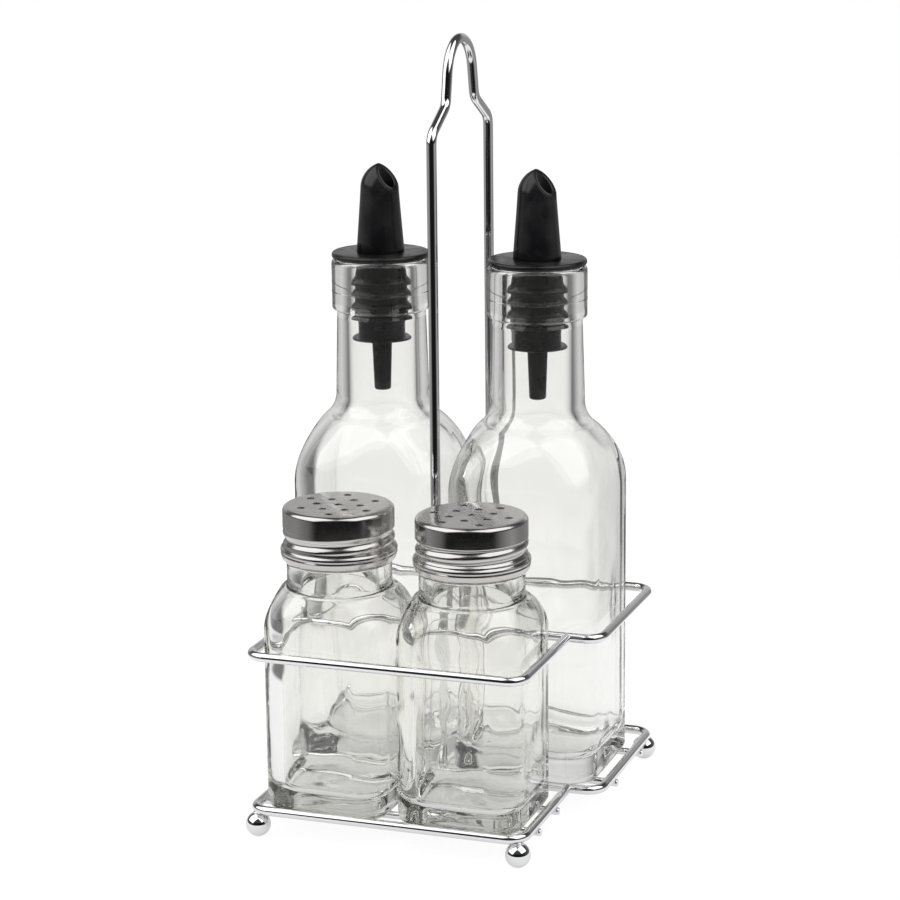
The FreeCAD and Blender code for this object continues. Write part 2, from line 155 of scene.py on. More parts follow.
def glass_finish(name, tint, depth_of_tone, swell, swell_scale):
    """Clear pressed glass with the soft swells that a mould leaves, greyer where it is thick."""
    material, tree, shader = finish(
        name, Base_Color=tint, Roughness=0.0, IOR=1.5, Transmission_Weight=1.0)
    swells = add_node(tree, "ShaderNodeTexNoise", (-560, -260), Scale=swell_scale, Detail=1.5)
    relief = add_node(tree, "ShaderNodeBump", (-260, -260), Strength=swell, Distance=0.001)
    tree.links.new(object_place(tree), swells.inputs["Vector"])
    tree.links.new(swells.outputs["Fac"], relief.inputs["Height"])
    tree.links.new(relief.outputs["Normal"], shader.inputs["Normal"])
    body = add_node(tree, "ShaderNodeVolumeAbsorption", (0, -400), Color=(0.3, 0.31, 0.22, 1), Density=depth_of_tone)
    tree.links.new(body.outputs[0], tree.nodes["Material Output"].inputs["Volume"])
    return material


# Steel sheet of the caps, mm
sheet_t = 0.45
plate_r = 14.6
cap_h = 17.4


def cap_steel_finish():
    """Satin pressed steel with fine rings about the cap's axis, and painted shade: near-black walls in its punched
    holes.
    """
    material, tree, shader = finish("satin_cap_steel", Metallic=1.0)
    place = add_node(tree, "ShaderNodeAttribute", (-1500, 0), attribute_name="cap_place").outputs["Vector"]
    parts = add_node(tree, "ShaderNodeSeparateXYZ", (-1300, 0))
    flat = add_node(tree, "ShaderNodeCombineXYZ", (-1100, 120))
    reach = add_node(tree, "ShaderNodeVectorMath", (-920, 120), operation="LENGTH")
    along = add_node(tree, "ShaderNodeMath", (-760, 60), operation="SUBTRACT")
    turned_place = add_node(tree, "ShaderNodeCombineXYZ", (-620, 0))
    rings = add_node(tree, "ShaderNodeTexNoise", (-440, 60), Scale=5200.0, Detail=3.0, noise_dimensions="1D")
    tone = add_node(tree, "ShaderNodeValToRGB", (-260, 220))
    tone.color_ramp.elements[0].color = (0.48, 0.465, 0.45, 1)
    tone.color_ramp.elements[1].color = (0.68, 0.665, 0.65, 1)
    tone.color_ramp.elements[0].position = 0.25
    tone.color_ramp.elements[1].position = 0.75
    link = tree.links.new
    link(place, parts.inputs[0])
    link(parts.outputs["X"], flat.inputs["X"])
    link(parts.outputs["Y"], flat.inputs["Y"])
    link(flat.outputs[0], reach.inputs[0])
    link(reach.outputs["Value"], along.inputs[0])
    link(parts.outputs["Z"], along.inputs[1])
    link(along.outputs[0], rings.inputs["W"])
    link(rings.outputs["Fac"], tone.inputs["Fac"])
    # Painted shade: the walls of the punched holes, points inside the plate within the sheet's thickness, are coloured
    # near black.
    in_sheet = add_node(tree, "ShaderNodeMath", (-620, 400), operation="COMPARE")
    in_plate = add_node(tree, "ShaderNodeMath", (-620, 560), operation="LESS_THAN")
    in_hole = add_node(tree, "ShaderNodeMath", (-440, 480), operation="MULTIPLY")
    hole_wall_shade = add_node(tree, "ShaderNodeMix", (0, 260), data_type="RGBA")
    in_sheet.inputs[1].default_value = (cap_h - sheet_t / 2) * MM
    in_sheet.inputs[2].default_value = sheet_t / 2 * 0.8 * MM
    in_plate.inputs[1].default_value = plate_r * MM
    hole_wall_shade.inputs["B"].default_value = (0.02, 0.02, 0.02, 1)
    link(parts.outputs["Z"], in_sheet.inputs[0])
    link(reach.outputs["Value"], in_plate.inputs[0])
    link(in_sheet.outputs[0], in_hole.inputs[0])
    link(in_plate.outputs[0], in_hole.inputs[1])
    link(in_hole.outputs[0], hole_wall_shade.inputs["Factor"])
    link(tone.outputs["Color"], hole_wall_shade.inputs["A"])
    link(hole_wall_shade.outputs["Result"], shader.inputs["Base Color"])
    link(parts.outputs["X"], turned_place.inputs["X"])
    link(parts.outputs["Y"], turned_place.inputs["Y"])
    link(along.outputs[0], turned_place.inputs["Z"])
    uneven(tree, shader, turned_place.outputs[0], 70, 1500, 0.13, 0.22, 0.01, 0.0002)
    return material


def black_plastic_finish(name, dark, light, low, high, grain):
    """Moulded black plastic with fine grain and slightly paler patches."""
    material, tree, shader = finish(name, Specular_IOR_Level=0.45)
    group = uneven(tree, shader, object_place(tree), 130, 2600, low, high, grain, 0.0002)
    tone = add_node(tree, "ShaderNodeMapRange", (-260, 220))
    tone.inputs["From Min"].default_value = low
    tone.inputs["From Max"].default_value = high
    colour = add_node(tree, "ShaderNodeMix", (-100, 220), data_type="RGBA")
    colour.inputs["A"].default_value = dark
    colour.inputs["B"].default_value = light
    link = tree.links.new
    link(group.outputs["Value"], tone.inputs["Value"])
    link(tone.outputs["Result"], colour.inputs["Factor"])
    link(colour.outputs["Result"], shader.inputs["Base Color"])
    return material


chrome_wire = chrome_wire_finish()
chrome_ball = chrome_ball_finish()
bottle_glass = glass_finish("bottle_glass", (0.99, 0.989, 0.976, 1), 3.0, 0.05, 45)
jar_glass = glass_finish("jar_glass", (0.984, 0.984, 0.97, 1), 8.0, 0.12, 75)
cap_steel = cap_steel_finish()
stopper_black = black_plastic_finish("stopper_black", (0.006, 0.006, 0.006, 1), (0.014, 0.014, 0.014, 1), 0.22, 0.34, 0.06)
spout_black = black_plastic_finish("spout_black", (0.006, 0.006, 0.007, 1), (0.013, 0.013, 0.014, 1), 0.2, 0.26, 0.03)


# Mesh building: points in millimetres, faces seen counterclockwise from outside

def make_piece(name, points, faces, material, body, nodes):
    """Smooth-shaded piece that rides on a body, takes a finish and stands for nodes."""
    mesh = bpy.data.meshes.new(name)
    mesh.from_pydata([Vector(point) * MM for point in points], [], faces)
    mesh.materials.append(material)
    mesh.polygons.foreach_set("use_smooth", [True] * len(mesh.polygons))
    return place_piece(name, mesh, body, nodes)


def place_piece(name, mesh, body, nodes):
    """Object of a finished mesh, tied to the frame."""
    piece = bpy.data.objects.new(name, mesh)
    bpy.context.scene.collection.objects.link(piece)
    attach(piece, body)
    if nodes:
        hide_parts(*nodes)
    return piece


def skin(rings, low_pole=None, high_pole=None, loop=False):
    """Points and faces of a skin over rings of equal count, closed by poles or into a loop."""
    count = len(rings[0])
    points = [point for ring in rings for point in ring]
    faces = []
    last = len(rings) if loop else len(rings) - 1
    for level in range(last):
        low = level * count
        high = (level + 1) % len(rings) * count
        for index in range(count):
            ahead = (index + 1) % count
            faces.append((low + index, low + ahead, high + ahead, high + index))
    if low_pole is not None:
        points.append(low_pole)
        pole = len(points) - 1
        faces += [(pole, (index + 1) % count, index) for index in range(count)]
    if high_pole is not None:
        points.append(high_pole)
        pole = len(points) - 1
        top = (len(rings) - 1) * count
        faces += [(pole, top + index, top + (index + 1) % count) for index in range(count)]
    return points, faces


def round_ring(radius, z, centre, count):
    """Circle of points about a vertical axis."""
    return [(centre.x + radius * math.cos(TURN * step / count),
             centre.y + radius * math.sin(TURN * step / count), centre.z + z) for step in range(count)]


def soft_outline(corners, steps=6):
    """Outline of (radius, height) points through corners of (radius, height, rounding)."""
    outline = []
    for index, (r, z, rounding) in enumerate(corners):
        here = Vector((r, z))
        if rounding == 0 or index in (0, len(corners) - 1):
            outline.append(here)
            continue
        back = Vector(corners[index - 1][:2]) - here
        ahead = Vector(corners[index + 1][:2]) - here
        half_angle = back.angle(ahead) / 2
        reach = min(rounding / math.tan(half_angle), 0.49 * back.length, 0.49 * ahead.length)
        radius = reach * math.tan(half_angle)
        start = here + back.normalized() * reach
        end = here + ahead.normalized() * reach
        centre = here + (back.normalized() + ahead.normalized()).normalized() * (radius / math.sin(half_angle))
        first = math.atan2(start.y - centre.y, start.x - centre.x)
        sweep = math.atan2(end.y - centre.y, end.x - centre.x) - first
        sweep = (sweep + math.pi) % TURN - math.pi
        for step in range(steps + 1):
            angle = first + sweep * step / steps
            outline.append(centre + Vector((math.cos(angle), math.sin(angle))) * radius)
    return outline


def lathe(outline, centre, count, loop=False):
    """Skin turned about a vertical axis, from an outline that runs counterclockwise round its stock."""
    ends = [None, None]
    outline = list(outline)
    for end, index in ((0, 0), (1, -1)):
        if not loop and outline[index][0] < 1e-6:
            ends[end] = (centre.x, centre.y, centre.z + outline[index][1])
            outline.pop(index)
    rings = [round_ring(r, z, centre, count) for r, z in outline]
    return skin(rings, ends[0], ends[1], loop)


def soft_step(value, low, high):
    """Smooth rise from 0 at a low value to 1 at a high one."""
    share = max(0.0, min(1.0, (value - low) / (high - low)))
    return share * share * (3 - 2 * share)


# Bent wires

ring_wire_r = 1.5
handle_wire_r = 1.6
cross_wire_r = 1.2
ring_bend_r = 5.5
handle_bend_r = 5.0
handle_heights = {"shoulder": 208.6, "neck": 216.4, "top": 236.4}
handle_neck_w = 27.8
handle_crown_w = 20.0
wire_sides = 28


def wire_tree():
    """Tree that turns a path with bend radii into round wire."""
    tree = bpy.data.node_groups.new("bent_round_wire", "GeometryNodeTree")
    tree.interface.new_socket("Path", in_out="INPUT", socket_type="NodeSocketGeometry")
    tree.interface.new_socket("Wire Radius", in_out="INPUT", socket_type="NodeSocketFloat")
    tree.interface.new_socket("Bend Steps", in_out="INPUT", socket_type="NodeSocketInt")
    tree.interface.new_socket("Sides", in_out="INPUT", socket_type="NodeSocketInt")
    tree.interface.new_socket("Plate", in_out="INPUT", socket_type="NodeSocketMaterial")
    tree.interface.new_socket("Wire", in_out="OUTPUT", socket_type="NodeSocketGeometry")
    entry = add_node(tree, "NodeGroupInput", (-900, 0))
    path = add_node(tree, "GeometryNodeMeshToCurve", (-700, 100))
    bend = add_node(tree, "GeometryNodeInputNamedAttribute", (-700, -100), data_type="FLOAT")
    bend.inputs["Name"].default_value = "bend"
    bends = add_node(tree, "GeometryNodeFilletCurve", (-500, 100), mode="POLY")
    section = add_node(tree, "GeometryNodeCurvePrimitiveCircle", (-500, -100))
    girth = add_node(tree, "GeometryNodeInputNamedAttribute", (-500, -300), data_type="FLOAT")
    girth.inputs["Name"].default_value = "girth"
    wire = add_node(tree, "GeometryNodeCurveToMesh", (-300, 0))
    wire.inputs["Fill Caps"].default_value = True
    smooth = add_node(tree, "GeometryNodeSetShadeSmooth", (-100, 0))
    whole = add_node(tree, "GeometryNodeRealizeInstances", (80, 0))
    plated = add_node(tree, "GeometryNodeSetMaterial", (260, 0))
    leave = add_node(tree, "NodeGroupOutput", (440, 0))
    link = tree.links.new
    link(entry.outputs["Path"], path.inputs["Mesh"])
    link(path.outputs["Curve"], bends.inputs["Curve"])
    link(entry.outputs["Bend Steps"], bends.inputs["Count"])
    link(bend.outputs["Attribute"], bends.inputs["Radius"])
    link(entry.outputs["Sides"], section.inputs["Resolution"])
    link(entry.outputs["Wire Radius"], section.inputs["Radius"])
    link(bends.outputs["Curve"], wire.inputs["Curve"])
    link(section.outputs["Curve"], wire.inputs["Profile Curve"])
    link(girth.outputs["Attribute"], wire.inputs["Scale"])
    link(wire.outputs["Mesh"], smooth.inputs["Geometry"])
    link(smooth.outputs["Geometry"], whole.inputs["Geometry"])
    link(whole.outputs["Geometry"], plated.inputs["Geometry"])
    link(entry.outputs["Plate"], plated.inputs["Material"])
    link(plated.outputs["Geometry"], leave.inputs["Wire"])
    return tree


def run_tree(tree, name, mesh, values):
    """Plain mesh that a tree makes of a mesh, with these named input values."""
    carrier = bpy.data.objects.new(name, mesh)
    bpy.context.scene.collection.objects.link(carrier)
    modifier = carrier.modifiers.new(name, "NODES")
    modifier.node_group = tree
    for item in tree.interface.items_tree:
        if item.name in values:
            modifier[item.identifier] = values[item.name]
    graph = bpy.context.evaluated_depsgraph_get()
    made = bpy.data.meshes.new_from_object(carrier.evaluated_get(graph), preserve_all_data_layers=True, depsgraph=graph)
    made.name = name
    bpy.data.objects.remove(carrier, do_unlink=True)
    return made


bent_round_wire = wire_tree()


def bent_wire(name, points, bends, radius, closed=False, girths=None):
    """Chromed wire of a node's name, along points with a bend radius at each."""
    count = len(points)
    edges = [(index, index + 1) for index in range(count - 1)]
    if closed:
        edges.append((count - 1, 0))
    path = bpy.data.meshes.new(name + "_path")
    path.from_pydata([Vector(point) * MM for point in points], edges, [])
    for label, values in (("bend", [bend * MM for bend in bends]), ("girth", girths or [1.0] * count)):
        path.attributes.new(label, "FLOAT", "POINT").data.foreach_set("value", values)
    values = {"Wire Radius": radius * MM, "Bend Steps": 20, "Sides": wire_sides, "Plate": chrome_wire}
    mesh = run_tree(bent_round_wire, "chromed_" + name, path, values)
    return place_piece("chromed_" + name, mesh, "rack", [name])


def stand_wires():
    """Rings, loops, handle and cross wires of the stand."""
    low, high = node_box("base_ring")
    half = (high.x - low.x) / 2 - ring_wire_r
    middle_y = low.y + ring_wire_r
    back_y = high.y - ring_wire_r
    low, high = node_box("base_front_loop")
    loop_half = (high.x - low.x) / 2 - ring_wire_r
    front_y = low.y + ring_wire_r
    for level in ("base", "guard"):
        low, high = node_box(level + "_ring")
        z = (low.z + high.z) / 2
        corners = [(-half, middle_y, z), (half, middle_y, z), (half, back_y, z), (-half, back_y, z)]
        bent_wire(level + "_ring", corners, [ring_bend_r] * 4, ring_wire_r, True)
        corners = [(-loop_half, middle_y, z), (-loop_half, front_y, z), (loop_half, front_y, z), (loop_half, middle_y, z)]
        bent_wire(level + "_front_loop", corners, [0, ring_bend_r, ring_bend_r, 0], ring_wire_r)
    low, high = node_box("carrying_handle")
    front_leg = low.y + handle_wire_r
    back_leg = high.y - handle_wire_r
    centre = (front_leg + back_leg) / 2
    foot = low.z
    base = foot + ring_wire_r
    shoulder, neck, top = (base + handle_heights[key] for key in ("shoulder", "neck", "top"))
    half_neck = handle_neck_w / 2
    half_crown = handle_crown_w / 2
    lean = math.atan2(half_neck - half_crown, top - neck)
    crown_r = 0.999 * half_crown / math.tan((math.pi / 2 - lean) / 2)
    points = [(0, front_leg, foot), (0, front_leg, shoulder), (0, centre - half_neck, neck),
              (0, centre - half_crown, top), (0, centre + half_crown, top), (0, centre + half_neck, neck),
              (0, back_leg, shoulder), (0, back_leg, foot)]
    bends = [0, handle_bend_r, handle_bend_r, crown_r, crown_r, handle_bend_r, handle_bend_r, 0]
    bent_wire("carrying_handle", points, bends, handle_wire_r)
    for index in range(1, 5):
        low, high = node_box("cross_wire_%d" % index)
        y = (low.y + high.y) / 2
        z = (low.z + high.z) / 2
        ends = [(high.x, 0.86), (high.x - 0.12, 0.96), (high.x - 0.3, 1.0)]
        points = [(-x, y, z) for x, size in ends] + [(x, y, z) for x, size in reversed(ends)]
        girths = [size for x, size in ends] + [size for x, size in reversed(ends)]
        bent_wire("cross_wire_%d" % index, points, [0] * 6, cross_wire_r, False, girths)
    return half, loop_half, front_y, middle_y, back_y


ring_half, loop_half, front_y, middle_y, back_y = stand_wires()


# Ball feet

ball_r = 4.0


def ball_foot(node):
    """Polished ball with the small flat it stands on."""
    low, high = node_box(node)
    centre = Vector(((low.x + high.x) / 2, (low.y + high.y) / 2, 0))
    flat = 0.1
    steps = 40
    start = math.acos(1 - flat / ball_r)
    outline = [(0, 0)]
    for step in range(steps):
        angle = start + (math.pi - start) * step / steps
        outline.append((ball_r * math.sin(angle), ball_r - flat - ball_r * math.cos(angle)))
    outline.append((0, 2 * ball_r - flat))
    points, faces = lathe(outline, centre, 56)
    return make_piece("polished_" + node, points, faces, chrome_ball, "rack", [node])


for foot_node in ("front_left_foot", "front_right_foot", "back_left_foot", "back_right_foot"):
    ball_foot(foot_node)


# Weld beads

def weld_tree():
    """Tree that sets an uneven bead of weld metal at each joint."""
    tree = bpy.data.node_groups.new("weld_beads", "GeometryNodeTree")
    for name, kind in (("Joints", "Geometry"), ("Bead Radius", "Float"), ("Unevenness", "Float"), ("Plate", "Material")):
        tree.interface.new_socket(name, in_out="INPUT", socket_type="NodeSocket" + kind)
    tree.interface.new_socket("Beads", in_out="OUTPUT", socket_type="NodeSocketGeometry")
    entry = add_node(tree, "NodeGroupInput", (-900, 0))
    bead = add_node(tree, "GeometryNodeMeshIcoSphere", (-700, -150), Subdivisions=4)
    size = add_node(tree, "GeometryNodeInputNamedAttribute", (-700, -350), data_type="FLOAT_VECTOR")
    size.inputs["Name"].default_value = "bead_size"
    points = add_node(tree, "GeometryNodeMeshToPoints", (-700, 100))
    beads = add_node(tree, "GeometryNodeInstanceOnPoints", (-500, 0))
    whole = add_node(tree, "GeometryNodeRealizeInstances", (-300, 0))
    place = add_node(tree, "GeometryNodeInputPosition", (-500, -300))
    ripples = add_node(tree, "ShaderNodeTexNoise", (-300, -300), Scale=1400.0, Detail=1.0)
    middle = add_node(tree, "ShaderNodeMath", (-120, -300), operation="SUBTRACT")
    middle.inputs[1].default_value = 0.5
    depth = add_node(tree, "ShaderNodeMath", (40, -300), operation="MULTIPLY")
    outward = add_node(tree, "GeometryNodeInputNormal", (-120, -450))
    shift = add_node(tree, "ShaderNodeVectorMath", (200, -300), operation="SCALE")
    moved = add_node(tree, "GeometryNodeSetPosition", (360, 0))
    smooth = add_node(tree, "GeometryNodeSetShadeSmooth", (520, 0))
    plated = add_node(tree, "GeometryNodeSetMaterial", (680, 0))
    leave = add_node(tree, "NodeGroupOutput", (840, 0))
    link = tree.links.new
    link(entry.outputs["Joints"], points.inputs["Mesh"])
    link(entry.outputs["Bead Radius"], bead.inputs["Radius"])
    link(points.outputs["Points"], beads.inputs["Points"])
    link(bead.outputs["Mesh"], beads.inputs["Instance"])
    link(size.outputs["Attribute"], beads.inputs["Scale"])
    link(beads.outputs[0], whole.inputs[0])
    link(place.outputs[0], ripples.inputs["Vector"])
    link(ripples.outputs["Fac"], middle.inputs[0])
    link(middle.outputs[0], depth.inputs[0])
    link(entry.outputs["Unevenness"], depth.inputs[1])
    link(outward.outputs[0], shift.inputs[0])
    link(depth.outputs[0], shift.inputs["Scale"])
    link(whole.outputs[0], moved.inputs["Geometry"])
    link(shift.outputs[0], moved.inputs["Offset"])
    link(moved.outputs[0], smooth.inputs["Geometry"])
    link(smooth.outputs[0], plated.inputs["Geometry"])
    link(entry.outputs["Plate"], plated.inputs["Material"])
    link(plated.outputs[0], leave.inputs[0])
    return tree


def stand_welds():
    """Beads where cross wires, loops, handle and feet meet the rings."""
    joints = []
    wire_top = node_box("cross_wire_1")[1].z
    for index in range(1, 5):
        low, high = node_box("cross_wire_%d" % index)
        y = (low.y + high.y) / 2
        reach = loop_half if index < 3 else ring_half
        joints += [((x, y, wire_top), (0.9, 0.9, 0.45)) for x in (-reach, reach)]
    for level in ("base", "guard"):
        low, high = node_box(level + "_ring")
        z = (low.z + high.z) / 2
        joints += [((x, middle_y - ring_wire_r, z), (1.15, 0.5, 1.0)) for x in (-loop_half, loop_half)]
        low, high = node_box("carrying_handle")
        front_leg, back_leg = low.y + handle_wire_r, high.y - handle_wire_r
        joints.append(((0, (front_leg + middle_y) / 2, z), (1.25, 0.5, 1.0)))
        joints.append(((0, (back_leg + back_y) / 2, z), (1.25, 0.5, 1.0)))
    for node in ("front_left_foot", "front_right_foot", "back_left_foot", "back_right_foot"):
        low, high = node_box(node)
        joints.append((((low.x + high.x) / 2, (low.y + high.y) / 2, high.z - 0.1), (1.2, 1.2, 0.5)))
    mesh = bpy.data.meshes.new("weld_places")
    mesh.from_pydata([Vector(place) * MM for place, size in joints], [], [])
    sizes = [value for place, size in joints for value in size]
    mesh.attributes.new("bead_size", "FLOAT_VECTOR", "POINT").data.foreach_set("vector", sizes)
    values = {"Bead Radius": 1.3 * MM, "Unevenness": 0.16 * MM, "Plate": chrome_wire}
    return place_piece("stand_welds", run_tree(weld_tree(), "stand_welds", mesh, values), "rack", [])


stand_welds()


# Square glass with a round neck

side_steps = 14
corner_steps = 18
round_split = math.radians(25)
panel_bulge_r = 900.0


def flat_split(half, corner_r):
    """Split angle that gives a rounded square its nearly flat sides."""
    q = (panel_bulge_r - half) / (panel_bulge_r - corner_r)
    return math.acos(q / math.sqrt(2)) - math.pi / 4


def square_ring(half, corner_r, split, z, centre):
    """Ring of points on a rounded square of eight tangent arcs."""
    k = math.cos(split) - math.sin(split)
    side_r = (half - corner_r * k) / (1 - k)
    c = (side_r - corner_r) * math.sin(split)
    quarter = []
    for step in range(side_steps):
        angle = split * (2 * step / side_steps - 1)
        quarter.append((half - side_r + side_r * math.cos(angle), side_r * math.sin(angle)))
    for step in range(corner_steps):
        angle = split + (math.pi / 2 - 2 * split) * step / corner_steps
        quarter.append((c + corner_r * math.cos(angle), c + corner_r * math.sin(angle)))
    ring = []
    for turn in range(4):
        for x, y in quarter:
            for _ in range(turn):
                x, y = -y, x
            ring.append((centre.x + x, centre.y + y, centre.z + z))
    return ring


def vessel_stations(half, corner_r, low_z, heel_r, dome_z, rise, dome_end, flare, blend_rise, neck_r, lead, push):
    """Stations of a square body from its middle below to the foot of its round neck."""
    split = flat_split(half, corner_r)
    stations = []
    for share in (0.12, 0.3, 0.5, 0.68, 0.84, 0.95):
        dip = push * (1 - (share / 0.95) ** 2)
        stations.append(((half - heel_r) * share, (corner_r - heel_r) * share, split, low_z + dip))
    heel_steps = 8
    for step in range(heel_steps + 1):
        angle = math.pi / 2 * step / heel_steps
        inset = heel_r * (1 - math.sin(angle))
        stations.append((half - inset, corner_r - inset, split, low_z + heel_r * (1 - math.cos(angle))))
    body_steps = 22
    start = low_z + heel_r
    for step in range(1, body_steps + 1):
        stations.append((half, corner_r, split, start + (dome_z - lead - start) * step / body_steps))
    end_share = 1 - math.cos(math.radians(dome_end))
    low_r = (neck_r + flare - half * (1 - end_share)) / end_share
    stations.append((half, corner_r, split, dome_z - lead / 2))
    dome_steps = 26
    for step in range(dome_steps + 1):
        angle = math.radians(dome_end) * step / dome_steps
        share = (1 - math.cos(angle)) / end_share
        size = low_r + (half - low_r) * math.cos(angle)
        corner = corner_r + (size - corner_r) * share
        stations.append((size, corner, split + (round_split - split) * share, dome_z + rise * math.sin(angle)))
    top = dome_z + rise * math.sin(math.radians(dome_end))
    blend_r = (flare ** 2 + blend_rise ** 2) / (2 * flare)
    blend_steps = 8
    for step in range(1, blend_steps + 1):
        z = blend_rise * step / blend_steps
        r = neck_r + blend_r - math.sqrt(blend_r ** 2 - (blend_rise - z) ** 2)
        stations.append((r, r, round_split, top + z))
    return stations, top + blend_rise


def vessel_skin(outer, mouth, inner, centre, push, inner_low, swell, seed):
    """Closed glass skin: outside, over the mouth, and down the inside, with soft uneven inner walls."""
    rings = [square_ring(half, corner, split, z, centre) for half, corner, split, z in outer]
    rings += [square_ring(r, r, round_split, z, centre) for r, z in mouth]
    inside = [square_ring(half, corner, split, z, centre) for half, corner, split, z in reversed(inner)]
    top = inner[-1][3]
    for ring in inside:
        for index, point in enumerate(ring):
            place = Vector(point)
            height = (place.z - centre.z) / top
            fade = max(0.0, min(1.0, 4 * (1 - height)))
            away = Vector((place.x - centre.x, place.y - centre.y, 0))
            if away.length > 0.5:
                shift = noise.noise(place * 0.045 + Vector((seed, 0, 0))) * swell
                shift += noise.noise(place * 0.14 + Vector((0, seed, 0))) * swell * 0.35
                place += away.normalized() * (min(0.0, shift - 0.2 * swell) * fade)
            place.z += noise.noise(place * 0.08 + Vector((0, 0, seed))) * swell * 0.9 * max(0.0, 1 - 6 * height)
            ring[index] = tuple(place)
    rings += inside
    low_pole = (centre.x, centre.y, centre.z + push)
    high_pole = (centre.x, centre.y, centre.z + inner_low)
    return skin(rings, low_pole, high_pole)


bottle = {
    "half": 25.2, "corner": 10.0, "wall": 3.0, "base": 8.0, "heel": 3.0, "inner_heel": 5.0, "dome_z": 94.0,
    "rise": 22.0, "end": 70.0, "flare": 3.6, "blend": 7.4, "neck_low_r": 15.3, "neck_top_r": 14.5,
    "inner_corner": 10.5, "bore_r": 11.0, "lip_r": 16.2, "lip_h": 16.6, "height": 166.5, "mouth_r": 10.0,
}
jar = {
    "half": 20.5, "corner": 8.0, "wall": 2.8, "base": 6.0, "heel": 3.0, "inner_heel": 4.0, "dome_z": 58.5,
    "rise": 12.6, "end": 78.0, "flare": 1.6, "blend": 1.6, "neck_r": 16.6, "neck_h": 7.0, "finish_r": 15.7,
    "mouth_r": 12.5, "height": 96.4, "inner_corner": 8.5, "thread_pitch": 4.13,
    "thread_rise": 0.5,
}
dome_lead = 4.0


def bottle_outline(lip_z):
    """Neck, deep lip with its fine mould ring, mouth and bore of the bottle."""
    b = bottle
    seam_z = lip_z + 0.36 * b["lip_h"]
    corners = [
        (b["neck_top_r"], lip_z - 0.6, 0),
        (b["neck_top_r"], lip_z, 0.5),
        (b["lip_r"] - 0.15, lip_z, 1.5),
        (b["lip_r"] - 0.15, seam_z - 0.3, 0.2),
        (b["lip_r"], seam_z, 0.25),
        (b["lip_r"] - 0.15, seam_z + 0.3, 0.2),
        (b["lip_r"] - 0.1, b["height"], 1.7),
        (b["mouth_r"], b["height"], 1.6),
        (b["mouth_r"], lip_z + 1.6, 3.0),
        (b["bore_r"], lip_z - b["wall"], 4.0),
        (b["bore_r"], lip_z - 12, 0),
    ]
    return [tuple(point) for point in soft_outline(corners, 7)]


def glass_bottle(side, seed):
    """Square glass bottle with a thick base, domed shoulder and slim neck."""
    node = side + "_bottle"
    centre = node_axis(node)
    b = bottle
    lip_z = b["height"] - b["lip_h"]
    outer, neck_z = vessel_stations(b["half"], b["corner"], 0, b["heel"], b["dome_z"], b["rise"], b["end"],
                                    b["flare"], b["blend"], b["neck_low_r"], dome_lead, 0.5)
    for step in range(1, 8):
        share = step / 8
        r = b["neck_low_r"] + (b["neck_top_r"] - b["neck_low_r"]) * share
        outer.append((r, r, round_split, neck_z + (lip_z - 0.6 - neck_z) * share))
    inner, bore_z = vessel_stations(b["half"] - b["wall"], b["inner_corner"], b["base"], b["inner_heel"],
                                    b["dome_z"], b["rise"] - b["wall"] / 2, b["end"], b["flare"], b["blend"],
                                    b["bore_r"], dome_lead, 0.9)
    points, faces = vessel_skin(outer, bottle_outline(lip_z), inner, centre, 0.5, b["base"] + 0.9, 0.5, seed)
    return make_piece("clear_" + node, points, faces, bottle_glass, node, [node])


def raise_jar_thread(points, centre, low_z, high_z):
    """Screw thread standing proud of the jar's finish, one and a half turns climbing to the right."""
    for index, point in enumerate(points):
        x, y, z = point[0] - centre.x, point[1] - centre.y, point[2] - centre.z
        reach = math.hypot(x, y)
        if abs(reach - jar["finish_r"]) > 0.05 or not low_z < z < high_z:
            continue
        climb = (z - low_z) / jar["thread_pitch"] - math.atan2(y, x) / TURN
        near_ridge = 1 - abs(2 * (climb - math.floor(climb)) - 1)
        fade = min(1.0, (z - low_z) / 1.2, (high_z - z) / 1.2)
        share = 1 + jar["thread_rise"] * soft_step(near_ridge, 0.35, 0.95) * fade / reach
        points[index] = (centre.x + x * share, centre.y + y * share, point[2])


def glass_jar(side, seed):
    """Square glass shaker jar with a domed shoulder, round neck and a threaded finish under the cap."""
    body = side + "_shaker"
    node = body + "_jar"
    centre = node_axis(node)
    j = jar
    outer, neck_z = vessel_stations(j["half"], j["corner"], 0, j["heel"], j["dome_z"], j["rise"], j["end"],
                                    j["flare"], j["blend"], j["neck_r"], dome_lead, 0.5)
    inner, bore_z = vessel_stations(j["half"] - j["wall"], j["inner_corner"], j["base"], j["inner_heel"],
                                    j["dome_z"], j["rise"] - j["wall"] / 2, j["end"], j["flare"], j["blend"],
                                    j["mouth_r"], dome_lead, 0.8)
    finish_z = neck_z + j["neck_h"]
    corners = [
        (j["neck_r"], neck_z + 0.8, 0),
        (j["neck_r"], finish_z, 0.8),
        (j["finish_r"], finish_z + 0.2, 0.4),
    ]
    thread_low, thread_high = finish_z + 1.0, j["height"] - 1.6
    corners += [(j["finish_r"], thread_low + (thread_high - thread_low) * step / 26, 0) for step in range(27)]
    corners += [(j["finish_r"], j["height"], 1.0), (j["mouth_r"], j["height"], 1.0), (j["mouth_r"], bore_z + 2, 0)]
    mouth = [tuple(point) for point in soft_outline(corners, 6)]
    points, faces = vessel_skin(outer, mouth, inner, centre, 0.5, j["base"] + 0.8, 0.8, seed)
    raise_jar_thread(points, centre, thread_low, thread_high)
    return make_piece("clear_" + node, points, faces, jar_glass, body, [node])


# Pouring stoppers

flange_r = 15.95
flange_t = 2.0
core_r = 7.65
rib_root_r = 8.6
rib_r = 9.85
rib_pitch = 3.8
rib_start = 6.2
rib_t = 2.2
core_h = 26.0
disc_r = 9.7
disc_t = 1.5


